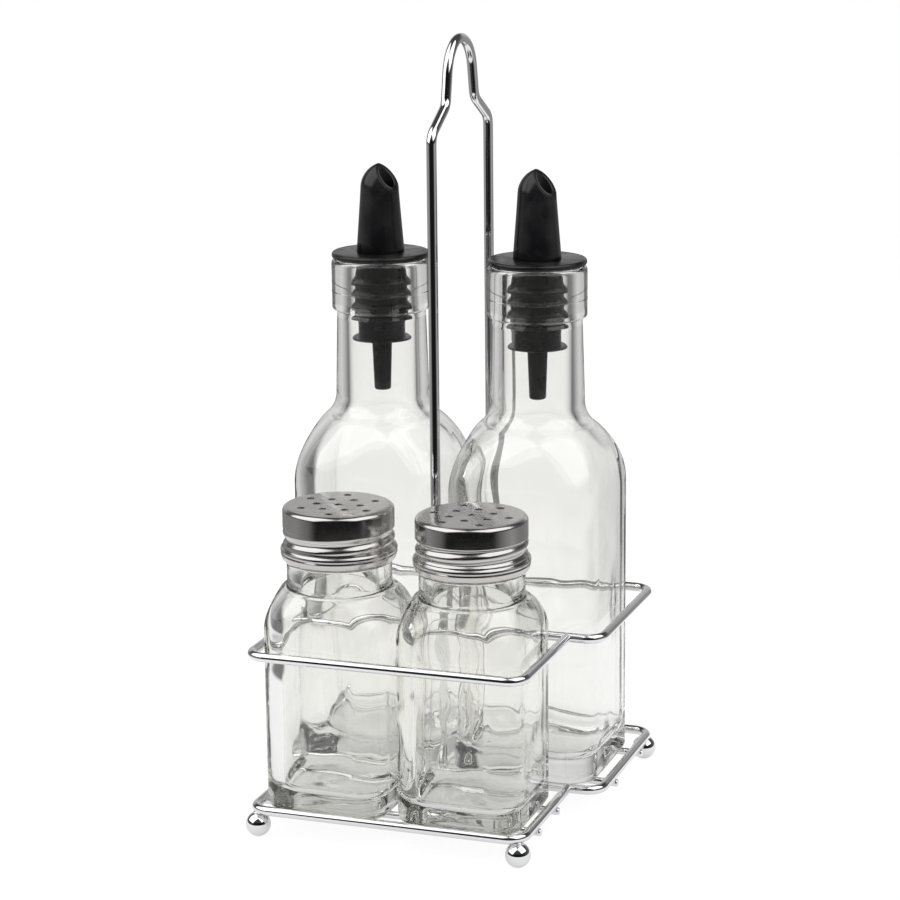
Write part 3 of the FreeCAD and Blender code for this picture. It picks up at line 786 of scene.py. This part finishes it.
def stopper_sleeve(side, centre):
    """Flange, ribbed sleeve and lower disc."""
    corners = [(0, flange_t, 0), (flange_r, flange_t, 0.8), (flange_r, 0, 0.85), (core_r, 0, 0.6)]
    for index in range(4):
        z = -rib_start - index * rib_pitch
        below = core_r if index == 3 else rib_root_r
        corners += [(rib_root_r, z, 0.2), (rib_r, z - 0.5 * rib_t, 0.3), (rib_r, z - 0.85 * rib_t, 0.2),
                    (below, z - rib_t, 0.3)]
    corners += [(core_r, -core_h, 0.3), (disc_r, -core_h - 0.1, 0.3), (disc_r, -core_h - 0.55, 0.25),
                (core_r * 0.75, -core_h - disc_t, 0.5), (0, -core_h - disc_t, 0)]
    outline = [tuple(point) for point in soft_outline(corners, 4)]
    points, faces = lathe(list(reversed(outline)), centre, 96)
    return make_piece("ribbed_%s_stopper" % side, points, faces, stopper_black, side + "_pourer",
                      [side + "_pourer_stopper"])


def air_tube(side, centre):
    """Tapered air tube below the sleeve."""
    top = -core_h - disc_t
    corners = [(1.3, top + 3, 0), (1.3, top - 16.2, 0.3), (2.7, top - 16.2, 1.0), (3.3, top, 0.3), (2.65, top, 0.1),
               (2.65, top + 3, 0.1)]
    outline = [tuple(point) for point in soft_outline(corners, 3)]
    points, faces = lathe(outline, centre, 40, True)
    return make_piece("tapered_%s_air_tube" % side, points, faces, stopper_black, side + "_pourer",
                      [side + "_pourer_air_tube"])


spout_meridian = {"foot_r": 7.8, "waist_r": 6.2, "waist_z": 20.0, "brow_r": 5.1, "brow_z": 24.8, "tip_r": 0.5,
                  "tip_z": 28.6}
spout_cut = math.radians(54)
spout_facing = math.radians(-12)
spout_drop = 0.6
channel_r = 2.7
lip_t = 2.2


def circle_through(a, b, c):
    """Centre of the circle through three points of a plane."""
    d = 2 * (a.x * (b.y - c.y) + b.x * (c.y - a.y) + c.x * (a.y - b.y))
    sizes = [point.length_squared for point in (a, b, c)]
    x = (sizes[0] * (b.y - c.y) + sizes[1] * (c.y - a.y) + sizes[2] * (a.y - b.y)) / d
    y = (sizes[0] * (c.x - b.x) + sizes[1] * (a.x - c.x) + sizes[2] * (b.x - a.x)) / d
    return Vector((x, y))


def spout_side():
    """Outline of the spout's side from its foot to its tip, as closely set points."""
    s = spout_meridian
    foot = Vector((s["foot_r"], 0))
    waist = Vector((s["waist_r"], s["waist_z"]))
    tip = Vector((s["tip_r"], s["tip_z"]))
    middle = circle_through(waist, Vector((s["brow_r"], s["brow_z"])), tip)
    radius = (waist - middle).length
    first = math.atan2(waist.y - middle.y, waist.x - middle.x)
    last = math.atan2(tip.y - middle.y, tip.x - middle.x)
    side = [foot.lerp(waist, step / 30) for step in range(30)]
    for step in range(121):
        angle = first + (last - first) * step / 120
        side.append(middle + Vector((math.cos(angle), math.sin(angle))) * radius)
    for _ in range(60):
        side[1:-1] = [(side[step - 1] + side[step + 1]) / 2 for step in range(1, len(side) - 1)]
    side.append(Vector((0, s["tip_z"])))
    return side


def pour_spout(side, centre):
    """Tapered spout cut aslant, with a rounded lip and an open channel."""
    s = spout_meridian
    meridian = spout_side()
    cut_z = s["tip_z"] - spout_drop
    count = 112
    rise_steps = 34
    columns = []
    for step in range(count):
        angle = TURN * step / count
        slope = math.tan(spout_cut) * math.cos(angle - spout_facing)
        above = [point.y + slope * point.x - cut_z for point in meridian]
        end = next(index for index, value in enumerate(above) if value > 0)
        share = above[end - 1] / (above[end - 1] - above[end])
        reach = end - 1 + share
        column = []
        for rise in range(rise_steps + 1):
            at = reach * (1 - (1 - rise / rise_steps) ** 1.5)
            low = min(int(at), len(meridian) - 2)
            r, z = meridian[low].lerp(meridian[low + 1], at - low)
            column.append(Vector((r * math.cos(angle), r * math.sin(angle), z)))
        columns.append(column)
    rim = [column[-1].copy() for column in columns]
    heart = sum(rim, Vector()) / count
    normal = Vector((math.sin(spout_cut) * math.cos(spout_facing), math.sin(spout_cut) * math.sin(spout_facing),
                     math.cos(spout_cut)))
    rings = [[column[rise] for column in columns] for rise in range(rise_steps)]
    for inset, lift in ((0.05, -0.12), (0.16, -0.03), (0.32, 0.0)):
        rings.append([point + (heart - point).normalized() * inset + normal * lift for point in rim])
    lips = []
    for point in rim:
        gap = (heart - point).length
        lips.append(point + (heart - point).normalized() * min(lip_t, 0.45 * gap))
    rings.append([lip - (heart - lip).normalized() * 0.15 for lip in lips])
    rings.append([lip - normal * 0.12 for lip in lips])
    bottom = Vector((0, 0, 6.0))
    for share in (0.04, 0.12, 0.28, 0.5, 0.75, 1.0):
        ring = []
        for step, lip in enumerate(lips):
            angle = TURN * step / count
            deep = bottom + Vector((math.cos(angle), math.sin(angle), 0)) * channel_r
            ring.append(lip.lerp(deep, share) + Vector((0, 0, -1.2 * share * (1 - share))))
        rings.append(ring)
    shift = Vector((centre.x, centre.y, centre.z + flange_t))
    rings = [[tuple(point + shift) for point in ring] for ring in rings]
    points, faces = skin(rings, tuple(shift), tuple(bottom + shift))
    return make_piece("slanted_%s_spout" % side, points, faces, spout_black, side + "_pourer",
                      [side + "_pourer_spout"])


# Shaker caps

band_r = 17.6
thread_depth = 0.75
thread_pitch = 4.13
thread_top = 10.9
thread_foot = 4.9
hole_r = 1.05
collar_r = 1.35
hole_pitch = 7.0
cap_sides = 144
cap_turns = {"left": 7.5, "right": 30.5}
valley_heights = {"left": 7.83, "right": 9.63}


def cap_tree():
    """Tree that closes a cap's open top with a sheet that has a star of punched holes."""
    tree = bpy.data.node_groups.new("punched_cap_top", "GeometryNodeTree")
    sockets = (("Skirt", "Geometry"), ("Collar", "Object"), ("Middle", "Vector"), ("Plate Radius", "Float"),
               ("Sheet Thickness", "Float"), ("Collar Radius", "Float"), ("Hole Pitch", "Float"),
               ("Turn", "Float"), ("Rim Points", "Int"), ("Collar Points", "Int"), ("Steel", "Material"))
    for name, kind in sockets:
        tree.interface.new_socket(name, in_out="INPUT", socket_type="NodeSocket" + kind)
    tree.interface.new_socket("Cap", in_out="OUTPUT", socket_type="NodeSocketGeometry")
    entry = add_node(tree, "NodeGroupInput", (-1500, 0))
    link = tree.links.new
    out = entry.outputs

    def transform(geometry, place, **inputs):
        node = add_node(tree, "GeometryNodeTransform", place)
        link(geometry, node.inputs["Geometry"])
        for key, socket in inputs.items():
            link(socket, node.inputs[key])
        return node.outputs["Geometry"]

    def vector(place, **axes):
        node = add_node(tree, "ShaderNodeCombineXYZ", place)
        for key, socket in axes.items():
            if isinstance(socket, float):
                node.inputs[key].default_value = socket
            else:
                link(socket, node.inputs[key])
        return node.outputs[0]

    def math_node(place, operation, first, second):
        node = add_node(tree, "ShaderNodeMath", place, operation=operation)
        for socket, value in zip(node.inputs, (first, second)):
            if isinstance(value, float):
                socket.default_value = value
            else:
                link(value, socket)
        return node.outputs[0]

    middle_point = add_node(tree, "GeometryNodePoints", (-1200, 500), Count=1)
    star = add_node(tree, "GeometryNodeJoinGeometry", (-600, 400))
    link(middle_point.outputs[0], star.inputs[0])
    far_pitch = math_node((-1200, 200), "MULTIPLY", out["Hole Pitch"], math.sqrt(3))
    near = add_node(tree, "GeometryNodeMeshCircle", (-1200, 350), Vertices=6)
    far = add_node(tree, "GeometryNodeMeshCircle", (-1000, 200), Vertices=6)
    link(out["Hole Pitch"], near.inputs["Radius"])
    link(far_pitch, far.inputs["Radius"])
    half_turn = vector((-1000, 50), Z=math.pi / 6)
    for circle, place, turn in ((near, (-800, 350), None), (far, (-800, 200), half_turn)):
        points = add_node(tree, "GeometryNodeMeshToPoints", place)
        link(circle.outputs["Mesh"], points.inputs["Mesh"])
        result = points.outputs["Points"]
        if turn is not None:
            result = transform(result, (-650, 200), Rotation=turn)
        link(result, star.inputs[0])
    turn = vector((-600, 200), Z=out["Turn"])
    holes = transform(star.outputs[0], (-400, 400), Rotation=turn, Translation=out["Middle"])

    rim = add_node(tree, "GeometryNodeCurvePrimitiveCircle", (-600, 0))
    link(out["Rim Points"], rim.inputs["Resolution"])
    link(out["Plate Radius"], rim.inputs["Radius"])
    rim_curve = transform(rim.outputs["Curve"], (-400, 0), Translation=out["Middle"])
    edge = add_node(tree, "GeometryNodeCurvePrimitiveCircle", (-600, -150))
    link(out["Collar Points"], edge.inputs["Resolution"])
    link(out["Collar Radius"], edge.inputs["Radius"])
    edges = add_node(tree, "GeometryNodeInstanceOnPoints", (-200, 100))
    link(holes, edges.inputs["Points"])
    link(edge.outputs["Curve"], edges.inputs["Instance"])
    loose_edges = add_node(tree, "GeometryNodeRealizeInstances", (-20, 100))
    link(edges.outputs[0], loose_edges.inputs[0])
    curves = add_node(tree, "GeometryNodeJoinGeometry", (140, 50))
    link(rim_curve, curves.inputs[0])
    link(loose_edges.outputs[0], curves.inputs[0])
    sheet = add_node(tree, "GeometryNodeFillCurve", (300, 50))
    link(curves.outputs[0], sheet.inputs["Curve"])
    down = math_node((140, -150), "MULTIPLY", out["Sheet Thickness"], -1.0)
    parts = add_node(tree, "ShaderNodeSeparateXYZ", (140, -300))
    link(out["Middle"], parts.inputs[0])
    lift = vector((300, -300), Z=parts.outputs["Z"])
    raised = transform(sheet.outputs[0], (460, 50), Translation=lift)
    sink = vector((460, -150), Z=down)
    below = transform(raised, (620, -100), Translation=sink)
    turned_over = add_node(tree, "GeometryNodeFlipFaces", (780, -100))
    link(below, turned_over.inputs["Mesh"])
    collar = add_node(tree, "GeometryNodeObjectInfo", (140, 300))
    link(out["Collar"], collar.inputs["Object"])
    collars = add_node(tree, "GeometryNodeInstanceOnPoints", (460, 350))
    link(holes, collars.inputs["Points"])
    link(collar.outputs["Geometry"], collars.inputs["Instance"])
    loose_collars = add_node(tree, "GeometryNodeRealizeInstances", (620, 350))
    link(collars.outputs[0], loose_collars.inputs[0])
    together = add_node(tree, "GeometryNodeJoinGeometry", (1100, 100))
    parts = ((out["Skirt"], True), (raised, False), (turned_over.outputs[0], False), (loose_collars.outputs[0], True))
    for index, (socket, is_smooth) in enumerate(parts):
        shade = add_node(tree, "GeometryNodeSetShadeSmooth", (940, 300 - 130 * index))
        shade.inputs["Shade Smooth"].default_value = is_smooth
        link(socket, shade.inputs["Geometry"])
        link(shade.outputs[0], together.inputs[0])
    whole = add_node(tree, "GeometryNodeRealizeInstances", (1260, 100))
    merged = add_node(tree, "GeometryNodeMergeByDistance", (1420, 100), Distance=0.00002)
    plated = add_node(tree, "GeometryNodeSetMaterial", (1580, 100))
    leave = add_node(tree, "NodeGroupOutput", (1740, 100))
    link(together.outputs[0], whole.inputs[0])
    link(whole.outputs[0], merged.inputs["Geometry"])
    link(merged.outputs[0], plated.inputs["Geometry"])
    link(out["Steel"], plated.inputs["Material"])
    link(plated.outputs[0], leave.inputs[0])
    return tree


punched_cap_top = cap_tree()
collar_sides = 28


def hole_collar():
    """Dimpled edge of one punched hole, as a loose piece of sheet about the origin."""
    corners = [
        (collar_r, -sheet_t, 0), (hole_r + 0.16, -sheet_t - 0.01, 0.05), (hole_r + 0.06, -sheet_t - 0.06, 0.03),
        (hole_r, -0.05, 0.03), (hole_r + 0.1, 0, 0.05), (collar_r, 0, 0),
    ]
    outline = soft_outline(corners, 3)
    points, faces = skin([round_ring(r, z, Vector(), collar_sides) for r, z in outline])
    mesh = bpy.data.meshes.new("hole_collar")
    mesh.from_pydata([Vector(point) * MM for point in points], [], faces)
    collar = bpy.data.objects.new("hole_collar", mesh)
    bpy.context.scene.collection.objects.link(collar)
    return collar


def thread_groove(z, angle, front_valley):
    """Depth of the rolled thread's groove, which climbs to the right round the skirt."""
    phase = (z - front_valley) / thread_pitch - (angle + math.pi / 2) / TURN
    phase -= math.floor(phase)
    climb = soft_step(phase, 0.0, 0.55) if phase < 0.6 else 1 - soft_step(phase, 0.62, 1.0)
    ends = soft_step(z, thread_foot, thread_foot + 0.9) * (1 - soft_step(z, thread_top - 0.9, thread_top))
    return thread_depth * (1 - climb) * ends


def shaker_cap(side, collar):
    """Pressed screw cap: punched top, plain band, thread bead and rolled hem."""
    node = side + "_shaker_cap"
    centre = node_axis(node)
    shoulder = [(plate_r, cap_h, 0), (band_r, cap_h, 1.9), (band_r, thread_top + 0.4, 0)]
    hem = [(band_r - 0.1, thread_foot - 0.2, 0), (18.35, 4.2, 0.3), (18.45, 3.5, 0.4), (18.2, 3.0, 0.15), (18.38, 2.5, 0.4),
           (17.9, 0.9, 0.8), (17.2, 0.0, 0)]
    outside = soft_outline(shoulder, 6)
    steps = 30
    for step in range(1, steps):
        outside.append(Vector((band_r, thread_top + 0.4 - (thread_top + 0.6 - thread_foot) * step / steps)))
    outside += soft_outline(hem, 5)
    skirt = [Vector((plate_r, cap_h - sheet_t)), Vector((15.6, cap_h - sheet_t))]
    skirt += [Vector((r - sheet_t, z)) for r, z in outside if z < cap_h - 2.2]
    skirt += list(reversed(outside))
    rings = []
    for r, z in skirt:
        ring = []
        for x, y, height in round_ring(r, z, centre, cap_sides):
            angle = math.atan2(y - centre.y, x - centre.x)
            share = 1 - thread_groove(z, angle, valley_heights[side]) / r
            ring.append((centre.x + (x - centre.x) * share, centre.y + (y - centre.y) * share, height))
        rings.append(ring)
    points, faces = skin(rings)
    mesh = bpy.data.meshes.new(node + "_skirt")
    mesh.from_pydata([Vector(point) * MM for point in points], [], faces)
    values = {
        "Collar": collar, "Middle": (centre + Vector((0, 0, cap_h))) * MM, "Plate Radius": plate_r * MM,
        "Sheet Thickness": sheet_t * MM, "Collar Radius": collar_r * MM, "Hole Pitch": hole_pitch * MM,
        "Turn": math.radians(cap_turns[side]), "Rim Points": cap_sides, "Collar Points": collar_sides,
        "Steel": cap_steel,
    }
    made = run_tree(punched_cap_top, "pressed_" + node, mesh, values)
    places = []
    for vertex in made.vertices:
        places.extend(vertex.co - centre * MM)
    made.attributes.new("cap_place", "FLOAT_VECTOR", "POINT").data.foreach_set("vector", places)
    return place_piece("pressed_" + node, made, side + "_cap", [node])


cap_collar = hole_collar()
for side, seed in (("left", 3.1), ("right", 11.7)):
    glass_bottle(side, seed)
    glass_jar(side, seed + 5.3)
    stopper_axis = node_axis(side + "_pourer_spout")
    flange_low = node_box(side + "_pourer_stopper")[1].z - flange_t
    pourer_axis = Vector((stopper_axis.x, stopper_axis.y, flange_low))
    stopper_sleeve(side, pourer_axis)
    air_tube(side, pourer_axis)
    pour_spout(side, pourer_axis)
    shaker_cap(side, cap_collar)
bpy.data.objects.remove(cap_collar, do_unlink=True)


# Floor, world and lamps

photo_yaw = 0.340
toward_camera = Vector((math.sin(photo_yaw), -math.cos(photo_yaw), 0))
camera_right = Vector((math.cos(photo_yaw), math.sin(photo_yaw), 0))
near_floor = (0.2, 0.27)
# Glow of the floor close under the object: a painted shadow that mirrors and glass see
shaded_floor = 0.6
wall_mirror_share = 0.42
bore_mirror_share = 0.65
ceiling_rise = (0.3, 0.55)
mirrored_table = ((-180, 0.16), (-140, 0.3), (-90, 0.34), (-61, 0.19), (-46, 0.012), (0, 0.008), (42, 0.014), (57, 0.2),
                  (82, 0.42), (104, 0.26), (144, 0.3), (180, 0.16))
mirrored_walls = ((-180, 0.55), (-152, 0.5), (-132, 0.12), (-90, 0.07), (-45, 0.015), (0, 0.008), (45, 0.015), (90, 0.07),
                  (132, 0.12), (152, 0.5), (180, 0.55))
clear_walls = ((-180, 0.98), (-156, 0.96), (-138, 0.55), (-122, 0.1), (-98, 0.07), (-82, 0.28), (-66, 0.45), (-48, 0.45),
               (0, 0.45), (48, 0.45), (66, 0.45), (82, 0.28), (98, 0.07), (122, 0.1), (138, 0.55), (156, 0.96), (180, 0.98))


def turn_ramp(tree, place, share, stops):
    """Value by direction, from stops of (degrees to the right of the camera, value)."""
    ramp = add_node(tree, "ShaderNodeValToRGB", place)
    elements = ramp.color_ramp.elements
    elements[0].position = 0.0
    elements[1].position = 1.0
    for degrees, value in stops[1:-1]:
        elements.new(degrees / 360 + 0.5)
    for element, (degrees, value) in zip(elements, stops):
        element.color = (value, value, value, 1)
    tree.links.new(share, ramp.inputs["Fac"])
    return ramp.outputs["Color"]


def surroundings_group():
    """What lies round the object, by direction: far table and walls in mirrors, and surroundings seen through glass.

    Mirrors see a dark room with a grey wall behind the object. Glass sees a white wall
    behind, and greys towards the sides and the camera."""
    tree = bpy.data.node_groups.new("studio_surroundings", "ShaderNodeTree")
    tree.interface.new_socket("Way", in_out="INPUT", socket_type="NodeSocketVector")
    link = tree.links.new
    entry = add_node(tree, "NodeGroupInput", (-1000, 0))
    ahead = add_node(tree, "ShaderNodeVectorMath", (-800, 100), operation="DOT_PRODUCT")
    aside = add_node(tree, "ShaderNodeVectorMath", (-800, -100), operation="DOT_PRODUCT")
    ahead.inputs[1].default_value = toward_camera
    aside.inputs[1].default_value = camera_right
    turn = add_node(tree, "ShaderNodeMath", (-600, 0), operation="ARCTAN2")
    share = add_node(tree, "ShaderNodeMath", (-420, 0), operation="MULTIPLY_ADD")
    share.inputs[1].default_value = 1 / TURN
    share.inputs[2].default_value = 0.5
    leave = add_node(tree, "NodeGroupOutput", (150, 0))
    link(entry.outputs[0], ahead.inputs[0])
    link(entry.outputs[0], aside.inputs[0])
    link(aside.outputs["Value"], turn.inputs[0])
    link(ahead.outputs["Value"], turn.inputs[1])
    link(turn.outputs[0], share.inputs[0])
    values = (("Mirrored Table", mirrored_table), ("Mirrored Walls", mirrored_walls), ("Seen Through", clear_walls))
    for index, (name, stops) in enumerate(values):
        tree.interface.new_socket(name, in_out="OUTPUT", socket_type="NodeSocketFloat")
        link(turn_ramp(tree, (-200, 250 - 250 * index), share.outputs[0], stops), leave.inputs[name])
    return tree


studio_surroundings = surroundings_group()


def blend(tree, place, share, first, second):
    """Value between two values, which may be plain numbers."""
    node = add_node(tree, "ShaderNodeMix", place)
    for key, value in (("Factor", share), ("A", first), ("B", second)):
        if isinstance(value, (int, float)):
            node.inputs[key].default_value = value
        else:
            tree.links.new(value, node.inputs[key])
    return node.outputs["Result"]


def has_bounced(tree, place, depth, times=1):
    """1 where the ray has bounced that many times in the way that a Light Path depth counts."""
    node = add_node(tree, "ShaderNodeMath", place, operation="GREATER_THAN")
    node.inputs[1].default_value = times - 0.5
    tree.links.new(depth, node.inputs[0])
    return node.outputs[0]


def mirror_share(tree, rays):
    """Share of the mirrors' surroundings that a ray sees: all off metal, some inside a bore, less inside a wall."""
    mirror = has_bounced(tree, (-700, 700), rays.outputs["Glossy Depth"])
    in_wall = has_bounced(tree, (-900, 850), rays.outputs["Transmission Depth"])
    in_bore = has_bounced(tree, (-900, 1000), rays.outputs["Transmission Depth"], 3)
    behind = blend(tree, (-700, 1000), in_bore, wall_mirror_share, bore_mirror_share)
    less = blend(tree, (-500, 850), in_wall, 1.0, behind)
    share = add_node(tree, "ShaderNodeMath", (-300, 800), operation="MULTIPLY")
    tree.links.new(mirror, share.inputs[0])
    tree.links.new(less, share.inputs[1])
    return share.outputs[0]


def white_floor():
    """Wide white floor that keeps the object's shadow, with a painted shadow from ambient occlusion in the glow that
    mirrors and glass see, dark far away where mirrors see it.
    """
    size = 30.0
    mesh = bpy.data.meshes.new("floor")
    mesh.from_pydata([(-size, -size, 0), (size, -size, 0), (size, size, 0), (-size, size, 0)], [], [(0, 1, 2, 3)])
    floor = bpy.data.objects.new("floor", mesh)
    bpy.context.scene.collection.objects.link(floor)
    material, tree, shader = finish("white_table", Base_Color=(0.8, 0.8, 0.8, 1), Roughness=0.9)
    material.cycles.emission_sampling = "NONE"
    shader.inputs["Specular IOR Level"].default_value = 0.0
    link = tree.links.new
    place = object_place(tree)
    around = add_node(tree, "ShaderNodeGroup", (-900, 300), node_tree=studio_surroundings)
    link(place, around.inputs["Way"])
    reach = add_node(tree, "ShaderNodeVectorMath", (-1000, 100), operation="LENGTH")
    link(place, reach.inputs[0])
    far = add_node(tree, "ShaderNodeMapRange", (-800, 100), interpolation_type="SMOOTHSTEP")
    far.inputs["From Min"].default_value = near_floor[0]
    far.inputs["From Max"].default_value = near_floor[1]
    link(reach.outputs["Value"], far.inputs["Value"])
    rays = add_node(tree, "ShaderNodeLightPath", (-900, 700))
    mirror = mirror_share(tree, rays)
    lit = has_bounced(tree, (-700, 550), rays.outputs["Diffuse Depth"])
    # Painted shadow: the glow that mirrors and glass see is darker where ambient occlusion finds the object close by.
    contact_shade = add_node(tree, "ShaderNodeAmbientOcclusion", (-1000, -150), samples=8, Distance=0.07)
    near = blend(tree, (-800, -150), contact_shade.outputs["AO"], shaded_floor, 0.97)
    mirrored = blend(tree, (-600, 300), far.outputs["Result"], near, around.outputs["Mirrored Table"])
    through = blend(tree, (-600, 150), far.outputs["Result"], near, around.outputs["Seen Through"])
    strength = blend(tree, (-400, 250), mirror, through, mirrored)
    strength = blend(tree, (-200, 250), rays.outputs["Is Camera Ray"], strength, 0.93)
    tone = blend(tree, (-200, 50), rays.outputs["Is Camera Ray"], 0.0, 0.12)
    glow = add_node(tree, "ShaderNodeEmission", (0, 300))
    paint = add_node(tree, "ShaderNodeBsdfDiffuse", (0, 150))
    both = add_node(tree, "ShaderNodeAddShader", (200, 250))
    mixed = add_node(tree, "ShaderNodeMixShader", (400, 100))
    link(strength, glow.inputs["Strength"])
    link(tone, paint.inputs["Color"])
    link(lit, mixed.inputs["Fac"])
    link(glow.outputs[0], both.inputs[0])
    link(paint.outputs[0], both.inputs[1])
    link(both.outputs[0], mixed.inputs[1])
    link(shader.outputs[0], mixed.inputs[2])
    link(mixed.outputs[0], tree.nodes["Material Output"].inputs["Surface"])
    mesh.materials.append(material)
    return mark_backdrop(floor)


white_floor()


def studio_world():
    """White to the camera; a dark room to metal, and a white wall with grey sides to glass."""
    world = bpy.data.worlds.new("studio")
    bpy.context.scene.world = world
    world.use_nodes = True
    world.cycles.sampling_method = "NONE"
    tree = world.node_tree
    link = tree.links.new
    way = add_node(tree, "ShaderNodeTexCoord", (-1400, 0)).outputs["Generated"]
    around = add_node(tree, "ShaderNodeGroup", (-1100, 200), node_tree=studio_surroundings)
    parts = add_node(tree, "ShaderNodeSeparateXYZ", (-1200, -100))
    link(way, around.inputs["Way"])
    link(way, parts.inputs[0])
    ceiling = add_node(tree, "ShaderNodeMapRange", (-900, -100), interpolation_type="SMOOTHSTEP")
    ceiling.inputs["From Min"].default_value = ceiling_rise[0]
    ceiling.inputs["From Max"].default_value = ceiling_rise[1]
    link(parts.outputs["Z"], ceiling.inputs["Value"])
    rays = add_node(tree, "ShaderNodeLightPath", (-900, 700))
    mirror = mirror_share(tree, rays)
    lit = has_bounced(tree, (-700, 550), rays.outputs["Diffuse Depth"])
    mirrored = blend(tree, (-700, 200), ceiling.outputs["Result"], around.outputs["Mirrored Walls"], 0.06)
    through = blend(tree, (-700, 0), ceiling.outputs["Result"], around.outputs["Seen Through"], 0.52)
    value = blend(tree, (-500, 200), mirror, through, mirrored)
    value = blend(tree, (-350, 200), lit, value, 0.6)
    value = blend(tree, (-200, 200), rays.outputs["Is Camera Ray"], value, 1.0)
    link(value, tree.nodes["Background"].inputs["Color"])


studio_world()


def soft_lamp(name, degrees, rise, distance, size, radiance):
    """Large square lamp that shines toward the object, from degrees to the right of the camera."""
    data = bpy.data.lights.new(name, "AREA")
    data.shape = "SQUARE"
    data.size = size
    data.energy = radiance * math.pi * size * size
    lamp = bpy.data.objects.new(name, data)
    bpy.context.scene.collection.objects.link(lamp)
    turn = math.radians(degrees)
    level = toward_camera * math.cos(turn) + camera_right * math.sin(turn)
    way = level * math.cos(math.radians(rise)) + Vector((0, 0, math.sin(math.radians(rise))))
    lamp.location = lamp_aim + way * distance
    lamp.rotation_euler = (-way).to_track_quat("-Z", "Y").to_euler()
    lamp.visible_camera = False
    return lamp


lamp_aim = Vector((0, 0, 0.08))
soft_lamp("left_panel", -78, 46, 0.9, 1.15, 1.5)
soft_lamp("right_panel", 62, 52, 0.9, 1.0, 1.5)


# Camera at the photograph's angle

def photo_camera():
    """Camera that sees the object as the photograph does."""
    yaw, pitch, roll = photo_yaw, 0.237, -0.011
    ahead = Vector((-math.sin(yaw) * math.cos(pitch), math.cos(yaw) * math.cos(pitch), -math.sin(pitch)))
    right = Vector((math.cos(yaw), math.sin(yaw), 0))
    up = right.cross(ahead)
    tilted_right = right * math.cos(roll) + up * math.sin(roll)
    tilted_up = up * math.cos(roll) - right * math.sin(roll)
    data = bpy.data.cameras.new("photo_camera")
    data.sensor_width = 36.0
    data.lens = 110.855
    camera = bpy.data.objects.new("photo_camera", data)
    bpy.context.scene.collection.objects.link(camera)
    turn = Matrix((tilted_right, tilted_up, -ahead)).transposed().to_4x4()
    camera.matrix_world = Matrix.Translation((0.29121, -0.81247, 0.32498)) @ turn
    bpy.context.scene.camera = camera


photo_camera()

scene = bpy.context.scene
scene.view_settings.view_transform = "Standard"
scene.cycles.max_bounces = 32
scene.cycles.transmission_bounces = 32
scene.cycles.glossy_bounces = 12
scene.cycles.transparent_max_bounces = 16
